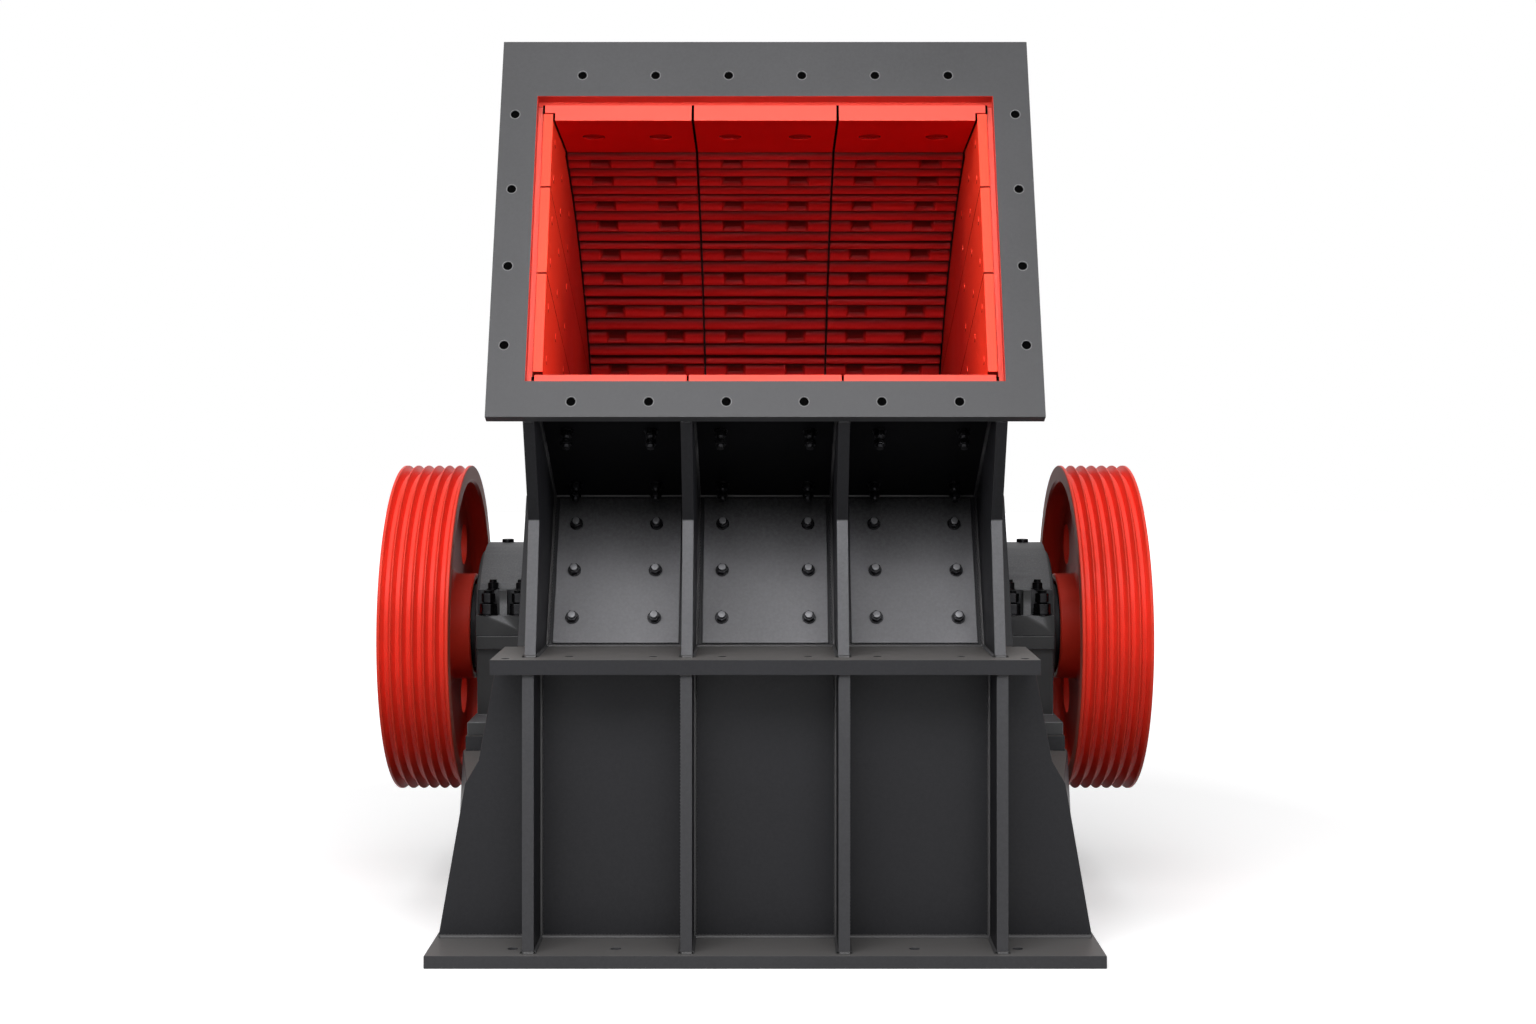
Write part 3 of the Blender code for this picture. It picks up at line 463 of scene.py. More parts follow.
def depthShadingTint(where, base):
    # painted shade: the sheets beside the mouth darken inwards, their downward faces are darker, and their
    # upper edge in the gap is painted black
    level = onFlange(0.0, 0.0).dot(inwardWay)
    low, high = depthShading["reach"]
    sideways = facing(where, axisX, 0.7)
    deep = remap(along(where, (0.0, *inwardWay)), level + low, level + high)
    base = mixColours(multiply(deep, sideways), base, depthShading["deepest"])
    below = calculate("LESS_THAN", along(normalOf(where), axisZ), -0.3)
    base = mixColours(below, base, depthShading["under"])
    above = past(where, topOut, topPoint(-0.001))
    return mixColours(multiply(above, sideways), base, depthShading["gap"])


paints = {
    # painted light: faces that look up take the lighter top colour
    "charcoal": {"colour": (0.0230, 0.0230, 0.0258), "top": (0.122, 0.115, 0.111), "shine": 0.20},
    # painted light: the base plate is a lighter copy of the charcoal
    "base": {"colour": (0.058, 0.058, 0.062), "top": (0.108, 0.104, 0.102), "shine": 0.20},
    # painted light and shade on the ribs' front edges
    "rib": {"colour": (0.012, 0.012, 0.014), "front": ((0.006, 0.006, 0.007), (0.134, 0.134, 0.142)),
            "shine": 0.12},
    "wall": {"colour": (0.022, 0.022, 0.025), "mask": "ends", "shine": 0.20},
    # the shell's red end is darkened as painted shade under the flange
    "shell": {"colour": (0.022, 0.022, 0.025), "mask": "ends", "end": (0.66, 0.052, 0.034), "shine": 0.20},
    # painted shade: the overhang is a near-black copy of the charcoal
    "overhang": {"colour": (0.005, 0.005, 0.006), "mask": "ends", "shine": 0.05},
    # painted light: the lower panel is a lighter copy of the charcoal, with the chute's painted shadow on its
    # upper part
    "panel": {"colour": (0.168, 0.167, 0.178), "rough": 0.42, "shine": 0.25,
              "shadingByHeight": (1.20, 1.42, 1.05, 0.30)},
    # painted light: the flange grows lighter towards the bottom
    "flange": {"colour": (0.036, 0.036, 0.0385), "grain": 0.08, "shadingByHeight": (1.70, 2.15, 1.32, 1.0),
               # the opening's faces take the red paint, darkened as painted shade
               "mask": "opening", "end": (0.55, 0.040, 0.026), "shine": 0.30},
    "red": {"colour": (0.90, 0.052, 0.028), "rough": 0.42, "grain": 0.06, "shine": 0.20,
            # dust and painted light on the pulleys' inner rims and hub ends
            "dustAndLight": (1.0565, (0.80, 0.16, 0.11))},
    "linerRed": {"colour": (0.96, 0.040, 0.018), "rough": 0.40, "grain": 0.08, "shine": 0.40},
    "sideRed": {"colour": (0.98, 0.050, 0.020), "rough": 0.42, "grain": 0.06, "shine": 0.25, "depthShade": True},
    "grooved": {"colour": (0.92, 0.014, 0.014), "rough": 0.50, "grain": 0.04, "shine": 0.08,
                "seamShade": (0.004, 0.001, 0.001)},
    "weld": {"colour": (0.060, 0.059, 0.061), "rough": 0.40, "grain": 0.14},
    # painted shade: near black for sheets and discs that stand in for shade
    "shadeBlack": {"colour": (0.002, 0.002, 0.002), "rough": 0.80, "shine": 0.0},
    "edge": {"colour": (0.110, 0.110, 0.114), "rough": 0.40, "grain": 0.06},
}


def paint(name, colour, rough=0.46, grain=0.10, shine=0.35, mask=None, end=(1.0, 0.16, 0.12), front=None,
          top=None, shadingByHeight=None, seamShade=None, depthShade=False, dustAndLight=None):
    material, shader, where = nodeTree(name)
    cloud = noise(where, "cloud")
    base = clouded(cloud, colour, 0.90, 1.10)
    # painted light and shade by height: darker towards the top on the panel, lighter towards the bottom on
    # the flange
    if shadingByHeight:
        base = scaled(base, remap(along(where, axisZ), *shadingByHeight))
    if seamShade:
        base = grooveShadingTint(where, colour)
    # painted shade on the sheets beside the mouth
    if depthShade:
        base = depthShadingTint(where, base)
    if dustAndLight:
        # dust on the pulleys' inner rims and hub ends, painted a pale salmon that is also painted light where
        # little light reaches
        reach, paintedShading = dustAndLight
        near = calculate("LESS_THAN", calculate("ABSOLUTE", along(where, axisX)), reach)
        base = mixColours(multiply(near, facing(where, axisX, 0.8)), base, paintedShading)
    if front:
        # painted light and shade: the ribs' front edges are lighter than their sides, lightest where they
        # lean up and darkest where they lean down
        lean = remap(along(normalOf(where), axisZ), -0.40, 0.25)
        base = mixColours(facing(where, axisY, 0.7), base, mixColours(lean, *front))
    # painted light: faces that look up are painted lighter
    if top:
        base = mixColours(facing(where, axisZ, 0.9), base, top)
    # painted shade: the plate sides that face the seams are near black
    if seamShade:
        tint = mixColours(facing(where, axisX, 0.9), base, seamShade)
    else:
        specks = remap(noise(where, "speck"), 0.35, 0.75, 0.0, grain * 2)
        tint = mixColours(specks, base, shade(colour, 1.9))
    # the casing's ends and the flange's opening take the red paint; the default end colour is a lighter
    # salmon as painted light
    if mask:
        tint = mixColours(redMask(where, mask), tint, end)
    setInputs(shader, {"Base Color": tint, "Roughness": remap(cloud, 0.3, 0.7, rough - 0.05, rough + 0.06),
                       "Specular IOR Level": shine})
    addBumps(shader, (noise(where, "fine"), grain, 0.0006), (noise(where, "wave"), 0.12, 0.004))
    return material


def casting(name, colour, front):
    material, shader, where = nodeTree(name)
    cloud = noise(where, "castCloud")
    specks = remap(noise(where, "castSpeck"), 0.45, 0.75, 0.0, 0.5)
    base = mixColours(specks, clouded(cloud, colour, 0.85, 1.12), shade(colour, 1.9))
    # painted shade: faces that look to the front or rear are darker
    setInputs(shader, {"Base Color": mixColours(facing(where, axisY, 0.93), base, front),
                       "Roughness": remap(cloud, 0.3, 0.7, 0.52, 0.64)})
    addBumps(shader, (noise(where, "castGrain"), 0.35, 0.0012), (noise(where, "castWave"), 0.15, 0.004))
    return material


def steel(name, colour, rough):
    material, shader, where = nodeTree(name)
    setInputs(shader, {"Base Color": clouded(noise(where, "steelCloud"), colour, 0.75, 1.15),
                       "Roughness": remap(noise(where, "steelRough"), 0.3, 0.7, rough - 0.08, rough + 0.12),
                       "Metallic": 0.85})
    addBumps(shader, (noise(where, "steelGrain"), 0.12, 0.0006))
    return material


castings = {
    # the surface, and the darker colour of faces that look to the front or rear, as painted shade
    "casting": ((0.104, 0.106, 0.112), (0.015, 0.0155, 0.017)),
    "cover": ((0.036, 0.037, 0.040), (0.015, 0.0155, 0.017)),
}
steels = {
    "shaft": ((0.022, 0.022, 0.024), 0.42),
    "stud": ((0.17, 0.17, 0.18), 0.45),
    "hammer": ((0.17, 0.165, 0.16), 0.5),
    "bolt": ((0.020, 0.020, 0.022), 0.30),
}
materials = {key: paint(key + "Paint", **values) for key, values in paints.items()}
materials |= {key: casting(key + "Casting", *values) for key, values in castings.items()}
materials |= {key: steel(key + "Steel", *values) for key, values in steels.items()}
print("materials made")


# The CAD plates that stay keep their shape, with eased edges and new paint

plates = {
    "charcoal": ("lower_side_wall", "lower_front_wall", "lower_rear_wall", "front_panel_lower", "back_rib",
                 "pedestal_plate", "console"),
    "rib": ("lower_front_rib", "lower_rear_rib", "upper_front_rib"),
    "wall": ("upper_side_wall",),
    "shell": ("back_shell",),
    "overhang": ("front_panel_upper",),
    "hammer": ("rotor_disc", "hammer_row"),
}
plateEdges = {
    "ease": 0.0022,
    "angle": math.radians(28.0),
    "merge": 0.00005,
}


def dressNode(name, material):
    obj = cadNodes[name]
    obj.data.materials.clear()
    obj.data.materials.append(material)
    obj.modifiers.new("Weld", "WELD").merge_threshold = plateEdges["merge"]
    bevel = obj.modifiers.new("Eased edges", "BEVEL")
    bevel.width = plateEdges["ease"]
    bevel.segments = 2
    bevel.limit_method = "ANGLE"
    bevel.angle_limit = plateEdges["angle"]


for key, stems in plates.items():
    for name in cadNodes:
        if name.startswith(stems):
            dressNode(name, materials[key])
print("CAD plates painted")


# Shapes that are drawn out of one point of a plane

def drawChain(points):
    bpy.ops.mesh.primitive_plane_add(size=0.001, location=points[0])
    obj = bpy.context.object
    makeActive(obj)
    bpy.ops.object.transform_apply(location=True, rotation=True, scale=True)
    setMode("EDIT")
    bpy.ops.mesh.select_mode(type="VERT")
    selectAll()
    bpy.ops.mesh.merge(type="CENTER")
    for before, after in pairs(points):
        step = Vector(after) - Vector(before)
        bpy.ops.mesh.extrude_vertices_move(TRANSFORM_OT_translate={"value": step})
    selectAll()
    return obj


def extrude(x, y=0.0, z=0.0):
    bpy.ops.mesh.extrude_region_move(TRANSFORM_OT_translate={"value": (x, y, z)})


def closeShape():
    selectAll()
    bpy.ops.mesh.remove_doubles(threshold=0.00002)
    bpy.ops.mesh.normals_make_consistent(inside=False)
    setMode("OBJECT")


def sectionPiece(outline, stations):
    obj = drawChain([(stations[0], y, z) for y, z in outline])
    bpy.ops.mesh.edge_face_add()
    for before, after in pairs(stations):
        extrude(after - before)
    closeShape()
    return obj


def slabPiece(outline, low, high):
    obj = drawChain([(x, y, low) for x, y in outline])
    bpy.ops.mesh.edge_face_add()
    extrude(0.0, 0.0, high - low)
    closeShape()
    return obj


def lathePiece(profile, steps):
    obj = drawChain([(x, 0.0, radius) for x, radius in profile])
    bpy.ops.mesh.spin(steps=steps, angle=2 * math.pi, center=(0.0, 0.0, 0.0), axis=(1.0, 0.0, 0.0))
    closeShape()
    return obj


def cylinderPiece(radius, low, high, vertices=24):
    bpy.ops.mesh.primitive_cylinder_add(vertices=vertices, radius=radius, depth=high - low)
    return moved(bpy.context.object, at(0.0, 0.0, (low + high) / 2))


def boxPiece(low, high):
    bpy.ops.mesh.primitive_cube_add(size=1.0)
    size = Matrix.Diagonal([b - a for a, b in zip(low, high)] + [1.0])
    return moved(bpy.context.object, at(*[(a + b) / 2 for a, b in zip(low, high)]) @ size)


def cutAway(obj, tool, operation="DIFFERENCE"):
    applyModifier(obj, "BOOLEAN", operation=operation, solver="EXACT", object=tool)
    drop(tool)


def bore(obj, spots, way, radius, reach):
    tool = cylinderPiece(radius, -reach, reach, 32)
    cutAway(obj, scatter(tool, "holes", [at(*spot) @ turnTo(way) for spot in spots]))


def selectParts(obj, kind, test):
    # kind is VERT or FACE, and the test gets the place of each
    bpy.ops.mesh.select_all(action="DESELECT")
    bpy.ops.mesh.select_mode(type=kind)
    bm = bmesh.from_edit_mesh(obj.data)
    if kind == "VERT":
        for vertex in bm.verts:
            vertex.select = test(vertex.co)
        bm.select_flush(True)
    else:
        for face in bm.faces:
            face.select = test(face.calc_center_median())
    bmesh.update_edit_mesh(obj.data)


def cornerArc(centre, radius, start, stop, steps=5):
    turns = [math.radians(start + (stop - start) * index / steps) for index in range(steps + 1)]
    return [(centre[0] + radius * math.cos(turn), centre[1] + radius * math.sin(turn)) for turn in turns]


def bothSides(right):
    left = copyOf(right, Matrix.Scale(-1.0, 4, (1.0, 0.0, 0.0)))
    left.data.flip_normals()
    return (left, "left"), (right, "right")


# Ribbed back liners

ribbed = {
    "columns": {"left": (-0.6847, -0.2400), "middle": (-0.2320, 0.2320), "right": (0.2400, 0.6847)},
    "pockets": {"left": (-0.576, -0.351), "middle": (-0.117, 0.117), "right": (0.351, 0.576)},
    "plateEnds": (0.0, 0.935, 1.92, 3.0, 4.07, 5.05, 6.03, 7.02, 8.0),
    "pocketHalf": 0.027,
    "pocketSlope": 0.013,
    "pocketDepth": 0.015,
    "pocketFloor": 0.3,
    "pocketShares": (0.10, 0.55),
    "ridgeHeight": 0.018,
    "ridgeEnds": (0.0, 0.14, 0.365, 0.575, 0.80, 1.0),
    "narrowRidge": ((0.08, 0.0), (0.18, 0.48), (0.32, 0.83), (0.50, 1.0), (0.68, 0.83), (0.82, 0.48),
                    (0.92, 0.0)),
    "broadRidge": ((0.05, 0.0), (0.11, 0.42), (0.20, 0.70), (0.34, 0.90), (0.52, 1.0), (0.66, 0.96),
                   (0.80, 0.74), (0.94, 0.0)),
    "seam": 0.0045,
    "topSeam": 0.00045,
    "recess": (0.037, 0.009),
    "recessShare": 0.44,
    "stepWidth": 0.0335,
    "topInset": 0.0015,
    "bevel": (0.0018, 40.0),
}


def ribbedSection(start, width):
    lower = start - width + ribbed["seam"] / backRadius
    upper = start - ribbed["seam" if start < backStart else "topSeam"] / backRadius
    section = [onBack(upper, 0.0)]
    for ridge, (first, last) in enumerate(pairs(ribbed["ridgeEnds"])):
        for share, height in ribbed["broadRidge" if ridge in (1, 3) else "narrowRidge"]:
            turn = start - width * (first + (last - first) * share)
            if turn < upper:
                section.append(onBack(turn, -height * ribbed["ridgeHeight"]))
    back = [lower, *[start - width * share for share in (0.75, 0.5, 0.25)], upper]
    return section + [onBack(lower, 0.0)] + [onBack(turn, backLiner) for turn in back]


def pressPockets(plate, places, start, width):
    setMode("EDIT")
    high = backRadius - ribbed["ridgeHeight"] * ribbed["pocketFloor"]
    for ridge in (1, 3):
        first, last = ribbed["ridgeEnds"][ridge:ridge + 2]
        turns = [start - width * (first + (last - first) * share) for share in ribbed["pocketShares"]]

        def inPocket(spot):
            flat = spot.yz - backCentre
            return (turns[1] < math.atan2(flat.y, flat.x) < turns[0] and flat.length < high
                    and any(abs(spot.x - x) < ribbed["pocketHalf"] + 0.001 for x in places))

        selectParts(plate, "VERT", inPocket)
        push = wayAt(turns[1]) * ribbed["pocketDepth"]
        bpy.ops.transform.translate(value=(0.0, push.x, push.y))
    setMode("OBJECT")


def topPlate(low, high, places):
    deep = backLiner - ribbed["topInset"]
    edge = onBack(backStart + ribbed["topSeam"] / backRadius, 0.0)
    end = [meet(topPoint(offset), topWay, edge, startWay) for offset in (0.0, deep / 2, deep)]
    outline = [topMouth(0.0, recess), *end, topMouth(deep, recess), topMouth(deep / 2, recess)]
    start, stop = (low, high) if low > -0.5 else (high, low)
    plate = drawChain([(start, y, z) for y, z in outline])
    bpy.ops.mesh.edge_face_add()
    selectParts(plate, "VERT", lambda spot: min((spot.yz - end[1]).length,
                                                (spot.yz - outline[5]).length) < 1e-4)
    bpy.ops.mesh.vert_connect_path()
    selectAll()
    extrude(stop - start)
    if abs(stop) > 0.5:
        # the plates beside the walls reach over the side sheets with their upper half
        selectParts(plate, "FACE", lambda spot: abs(spot.x - stop) < 1e-4
                    and (spot.yz - topPoint(deep / 2)).dot(topOut) > 0.0)
        extrude(math.copysign(ribbed["stepWidth"], stop))
    closeShape()
    middle = topPoint(0.0) + topWay * casing["topLength"] * ribbed["recessShare"]
    radius, depth = ribbed["recess"]
    tool = cylinderPiece(radius, -0.03, depth, 32)
    cutAway(plate, scatter(tool, "recesses", [at(x, *middle) @ turnTo((0.0, *topOut)) for x in places]))
    bevelEdges(plate, *ribbed["bevel"])
    return plate


def buildBackLiners():
    half, slope, ends = ribbed["pocketHalf"], ribbed["pocketSlope"], ribbed["plateEnds"]
    pitch = (backStart - backEnd) / ends[-1]
    for name, (low, high) in ribbed["columns"].items():
        places = ribbed["pockets"][name]
        offsets = (-half - slope, -half, half, half + slope)
        stations = [low, *[x + offset for x in places for offset in offsets], high]
        parts = []
        for first, last in pairs(ends):
            start, width = backStart - first * pitch, (last - first) * pitch
            plate = sectionPiece(ribbedSection(start, width), stations)
            pressPockets(plate, places, start, width)
            bevelEdges(plate, *ribbed["bevel"])
            parts.append(plate)
        parts.append(topPlate(low, high, places))
        finishPiece(parts, "backLiner_" + name, "liner_red", "grooved", "back_liner_" + name, angle=50.0)


buildBackLiners()
print("back liners made")


# Black sheets set a little inside the seams around the mouth: painted shade that keeps the gaps dark

paintedShading = {
    "depth": 0.005,
    "length": 0.36,
    "topSeam": (0.2320, 0.2400),
    "topEdge": (0.6847, 0.6905),
    "tongueEdge": (0.7182, 0.7255),
    "tongueGap": 0.002,
    "footSeam": (0.2370, 0.2440),
    "footEdge": (0.7162, 0.7255),
}


def buildGapShade():
    depth, half = paintedShading["depth"], backLiner / 2
    reach, rim = thick + gap, mouthLow + gap
    outer = frontPath(panelFace, reach)
    inner = frontPath(linerFace - depth, recess + depth)
    foot = [outer[1], outer[2], onFlange(rim, reach), onFlange(rim, recess + depth), inner[2], inner[1]]
    strips = [(paintedShading["footSeam"], foot), (paintedShading["footEdge"], foot)]
    for key, under, over in (("topSeam", depth, backLiner), ("topEdge", depth, half - paintedShading["tongueGap"]),
                             ("tongueEdge", half, backLiner)):
        far = topWay * paintedShading["length"]
        strips.append((paintedShading[key], [topMouth(under, recess + depth), topPoint(under) + far,
                                   topPoint(over) + far, topMouth(over, recess + depth)]))
    pieces = [sectionPiece(outline, sorted((side * ends[0], side * ends[1])))
              for ends, outline in strips for side in (-1, 1)]
    place(joinAll(pieces, "gapShade"), "gapShade", "frame", "charcoal_paint", "shadeBlack")


buildGapShade()
print("seams filled")


# Side and front liners

sideLiner = {
    "thickness": 0.0315,
    "seamRises": (0.492, 0.7965),
    "seamHalf": 0.0022,
    "aboveFront": 0.010,
    "belowTop": 0.004,
    "notchRadius": 0.130,
    "boltRises": (0.23, 0.41, 0.57, 0.72, 0.87, 1.0),
    "boltDepths": (0.10, 0.34, 0.62),
    "bolt": (0.014, 0.002),
    "bevel": (0.0022, 35.0),
}
frontLiner = {
    "inset": 0.0095,
    "seam": (0.2370, 0.2440),
    "bevel": (0.0022, 35.0),
}


def sideOutline():
    depth = casing["panel"] + casing["frontLiner"] + sideLiner["aboveFront"]
    lip, floor = backLiner / 2 - sideLiner["belowTop"], splitTop + gap
    curve = backArc(-ribbed["ridgeHeight"] - gap, 24)
    notch = [Vector(spot) for spot in
             cornerArc((rotorAxis.y, rotorAxis.z), sideLiner["notchRadius"], 0.0, 180.0, 16)]
    curve[-1].y = notch[0].y = notch[-1].y = floor
    overEdge = meet(topPoint(lip), topWay, onBack(backStart, 0.0), startWay)
    return frontPath(depth, recess) + [topMouth(lip, recess), overEdge] + curve + notch


def cutFlat(obj, rise, clearOuter):
    makeActive(obj)
    setMode("EDIT")
    selectAll()
    bpy.ops.mesh.bisect(plane_co=(0.0, *onFlange(rise, 0.0)), plane_no=(0.0, *slopeWay), use_fill=True,
                        clear_outer=clearOuter, clear_inner=not clearOuter)
    closeShape()


def buildSideLiners():
    half, inner = sideLiner["seamHalf"], casing["chamberHalfWidth"]
    rises = [None, *sideLiner["seamRises"], None]
    for name, low, face in (("left", -inner - sideLiner["thickness"], -inner), ("right", inner, inner)):
        whole = sectionPiece(sideOutline(), [low, low + sideLiner["thickness"]])
        parts = []
        for below, above in pairs(rises):
            parts.append(copyOf(whole))
            if below is not None:
                cutFlat(parts[-1], below + half, False)
            if above is not None:
                cutFlat(parts[-1], above - half, True)
        drop(whole)
        sheet = joinAll(parts, "sheet")
        bevelEdges(sheet, *sideLiner["bevel"])
        radius, height = sideLiner["bolt"]
        head = cylinderPiece(radius, -0.004, height, 20)
        bevelEdges(head, height * 0.6, 50.0)
        turn = turned(90.0 if name == "left" else -90.0, "Y")
        heads = scatter(head, "heads", [at(face, *onFlange(rise, inward)) @ turn
                                        for rise in sideLiner["boltRises"]
                                        for inward in sideLiner["boltDepths"]])
        finishPiece([sheet, heads], "sideLiner_" + name, "liner_red", "sideRed", "side_liner_" + name)


def buildFrontLiners():
    reach, rim = thick + gap, mouthLow + gap      # the liner's lip lies on the flange's lower edge
    outer = frontPath(panelFace, reach)
    inner = frontPath(linerFace, recess)
    step = upperWay * gap
    outlines = {
        "lower": [outer[0], outer[1], inner[1], inner[0]],
        "upper": [outer[1] + step, outer[2], onFlange(rim, reach), onFlange(rim, recess), inner[2],
                  inner[1] + step],
    }
    edge, (near, far) = casing["linerHalfWidth"] - frontLiner["inset"], frontLiner["seam"]
    for name, outline in outlines.items():
        parts = [sectionPiece(outline, ends) for ends in ((-edge, -far), (-near, near), (far, edge))]
        finishPiece(parts, "frontLiner_" + name, "liner_red", "linerRed", "front_liner_" + name,
                    frontLiner["bevel"])


buildSideLiners()
buildFrontLiners()
print("side and front liners made")


# Grooved pulleys and the shaft

pulley = {
    "radius": 0.575,
    "rim": (1.054, 1.292),
    "grooves": 6,
    "pitch": 0.037,
    "endLand": 0.0265,
    "grooveDepth": 0.028,
    "grooveHalf": 0.016,
    "grooveAngle": math.radians(19.0),
    "landRound": 0.0022,
    "rimBore": 0.516,
    "web": (1.122, 1.167),
    "hubRadius": 0.187,
    "hub": (1.036, 1.230),
    "hubRecess": 0.028,
    "hubWall": 0.018,
    "bore": 0.0903,
    "fillet": 0.022,
    "chamfer": 0.008,
    "holeRadius": 0.075,
    "holeCircle": 0.390,
    "steps": 128,
    "bevel": (0.003, 60.0),
}


def pulleyProfile():
    (near, far), (webNear, webFar), (hubNear, hubFar) = (pulley[key] for key in ("rim", "web", "hub"))
    top, land, half, depth = (pulley[key] for key in ("radius", "landRound", "grooveHalf", "grooveDepth"))
    fillet, rimBore, hub, chamfer = (pulley[key] for key in ("fillet", "rimBore", "hubRadius", "chamfer"))
    groove = [(half - depth * math.tan(pulley["grooveAngle"]), top - depth),
              (half - land * 0.3, top - land), (half + land * 0.6, top)]
    profile = [(near, top - land), (near + land, top)]
    for index in range(pulley["grooves"]):
        middle = near + pulley["endLand"] + pulley["pitch"] * index
        profile += [(middle - x, reach) for x, reach in reversed(groove)]
        profile += [(middle + x, reach) for x, reach in groove]
    profile += [(far - land, top), (far, top - land), (far, rimBore + chamfer), (far - chamfer, rimBore)]
    profile += cornerArc((webFar + fillet, rimBore - fillet), fillet, 90.0, 180.0)
    profile += cornerArc((webFar + fillet, hub + fillet), fillet, 180.0, 270.0)
    floor, wall = hubNear + pulley["hubRecess"], hub - pulley["hubWall"]
    profile += [(hubFar - chamfer, hub), (hubFar, hub - chamfer), (hubFar, pulley["bore"]),
                (floor, pulley["bore"]), (floor, wall), (hubNear, wall), (hubNear, hub - chamfer / 2),
                (hubNear + chamfer / 2, hub)]
    profile += cornerArc((webNear - fillet, hub + fillet), fillet, -90.0, 0.0)
    profile += cornerArc((webNear - fillet, rimBore - fillet), fillet, 0.0, 90.0)
    return profile + [(near + chamfer, rimBore), (near, rimBore + chamfer), profile[0]]


def buildPulleys():
    right = lathePiece(pulleyProfile(), pulley["steps"])
    centres = cornerArc((0.0, 0.0), pulley["holeCircle"], 45.0, 315.0, 3)
    spots = [at(sum(pulley["web"]) / 2, y, z) @ turned(90.0, "Y") for y, z in centres]
    cutAway(right, scatter(cylinderPiece(pulley["holeRadius"], -0.05, 0.05, 48), "webHoles", spots))
    for obj, side in bothSides(right):
        finishPiece([obj], "pulley_" + side + "_turned", "pulley_red", "red", "pulley_" + side,
                    pulley["bevel"], 28.0, "rotor", onAxis)


shaft = {
    "steps": ((0.670, 0.130), (0.806, 0.115), (1.0597, 0.100), (1.240, 0.090)),
    "chamfer": 0.003,
    "sleeve": (1.014, 1.0600, 0.1003, 0.150),
    "segments": 96,
}


def buildShaft():
    right, chamfer = [], shaft["chamfer"]
    for x, radius in shaft["steps"]:
        if right:
            right.append((right[-1][0], radius))
        right += [(x - chamfer, radius), (x, radius - chamfer)]
    right.append((right[-1][0], 0.0))
    near, far, within, radius = shaft["sleeve"]
    sleeve = [(near, within), (near, radius - chamfer), (near + chamfer, radius), (far - chamfer, radius),
              (far, radius - chamfer), (far, within), (near, within)]
    profiles = (mirror(right) + right, mirror(sleeve), sleeve)
    parts = [lathePiece(profile, shaft["segments"]) for profile in profiles]
    finishPiece(parts, "mainShaft_turned", "shaft_steel", "shaft", "main_shaft", None, 30.0, "rotor", onAxis)


buildPulleys()
buildShaft()
print("pulleys and shaft made")


# Plates with round bolt holes

flange = {
    "halfWidth": 0.8625,
    "mouthHalfWidth": 0.7425,
    "holeRadius": 0.015,
    "holeSide": 0.049,
    "holeRises": (0.051, 1.200),
    "holeStep": 0.2395833,
    "sideRises": (0.240, 0.51175, 0.7835, 1.05525),
    # a black disc in each hole, as painted shade
    "plug": (-0.038, -0.006),
    "holeShadeBevel": (0.001, 40.0, 1),
    "ring": (0.0146, 0.0174, 0.0006, -0.002),
    "bevel": (0.0028, 35.0),
}


def flangeSection(low, high, near, far):
    return [onFlange(low, near), onFlange(high, near), onFlange(high, far), onFlange(low, far)]


def buildFeedFlange():
    half, mouthHalf, radius = flange["halfWidth"], flange["mouthHalfWidth"], flange["holeRadius"]
    body = sectionPiece(flangeSection(0.0, casing["flangeLength"], 0.0, thick), [-half, half])
    mouth = flangeSection(mouthLow, mouthTop, -thick, 2 * thick)
    cutAway(body, sectionPiece(mouth, [-mouthHalf, mouthHalf]))
    places = [((index - 2.5) * flange["holeStep"], rise)
              for index in range(6) for rise in flange["holeRises"]]
    places += [(side * (half - flange["holeSide"]), rise) for rise in flange["sideRises"] for side in (-1, 1)]
    way = (0.0, *-inwardWay)
    bore(body, [(x, *onFlange(rise, thick / 2)) for x, rise in places], way, radius, thick)
    finishPiece([body], "feedFlange", "panel_paint", "flange", "feed_flange", flange["bevel"])
    spots = [at(x, *onFlange(rise, 0.0)) @ turnTo(way) for x, rise in places]
    # black discs set inside the holes: painted shade, so the holes read dark
    plug = cylinderPiece(radius + 0.0002, *flange["plug"], 32)
    bevelEdges(plug, *flange["holeShadeBevel"])
    finishPiece([scatter(plug, "holeShadeDiscs", spots)], "flangeHoleShade", "charcoal_paint", "shadeBlack")
    # a raised ring round each hole, painted a lighter grey: a worn edge and a painted highlight
    inner, outer, crown, foot = flange["ring"]
    ring = lathePiece([(foot, outer), (0.0, outer), (crown, (inner + outer) / 2), (0.0, inner), (foot, inner),
                       (foot, outer)], 32)
    rings = scatter(moved(ring, turned(-90.0, "Y")), "rings", spots)
    finishPiece([rings], "flangeRings", "charcoal_paint", "edge", angle=50.0)


split = {
    "wing": 0.098,
    "sideOuter": 0.056,
    "sideInner": 0.050,
    "frontStep": 0.381,
    "rearStep": 0.184,
    "notch": 0.130,
    "holeRadius": 0.013,
    "holesX": (0.134, 0.350, 0.612),
    "holeInset": 0.098,
    "endHoleInset": 0.043,
    "bevel": (0.0028, 35.0),
}


def splitOutline(name, edge, toward):
    half = casing["halfWidth"]
    end, sideOuter, sideInner = half + split["wing"], half + split["sideOuter"], half - split["sideInner"]
    inner = onBack(backEnd, 0.0).x
    if name == "front":
        inner = frontPath(linerFace, thick)[0].x
    step, notch = edge + toward * split[name + "Step"], rotorAxis.y - toward * split["notch"]
    right = [(end, edge), (end, step), (sideOuter, step), (sideOuter, notch), (sideInner, notch),
             (sideInner, inner)]
    return right + mirror(right)


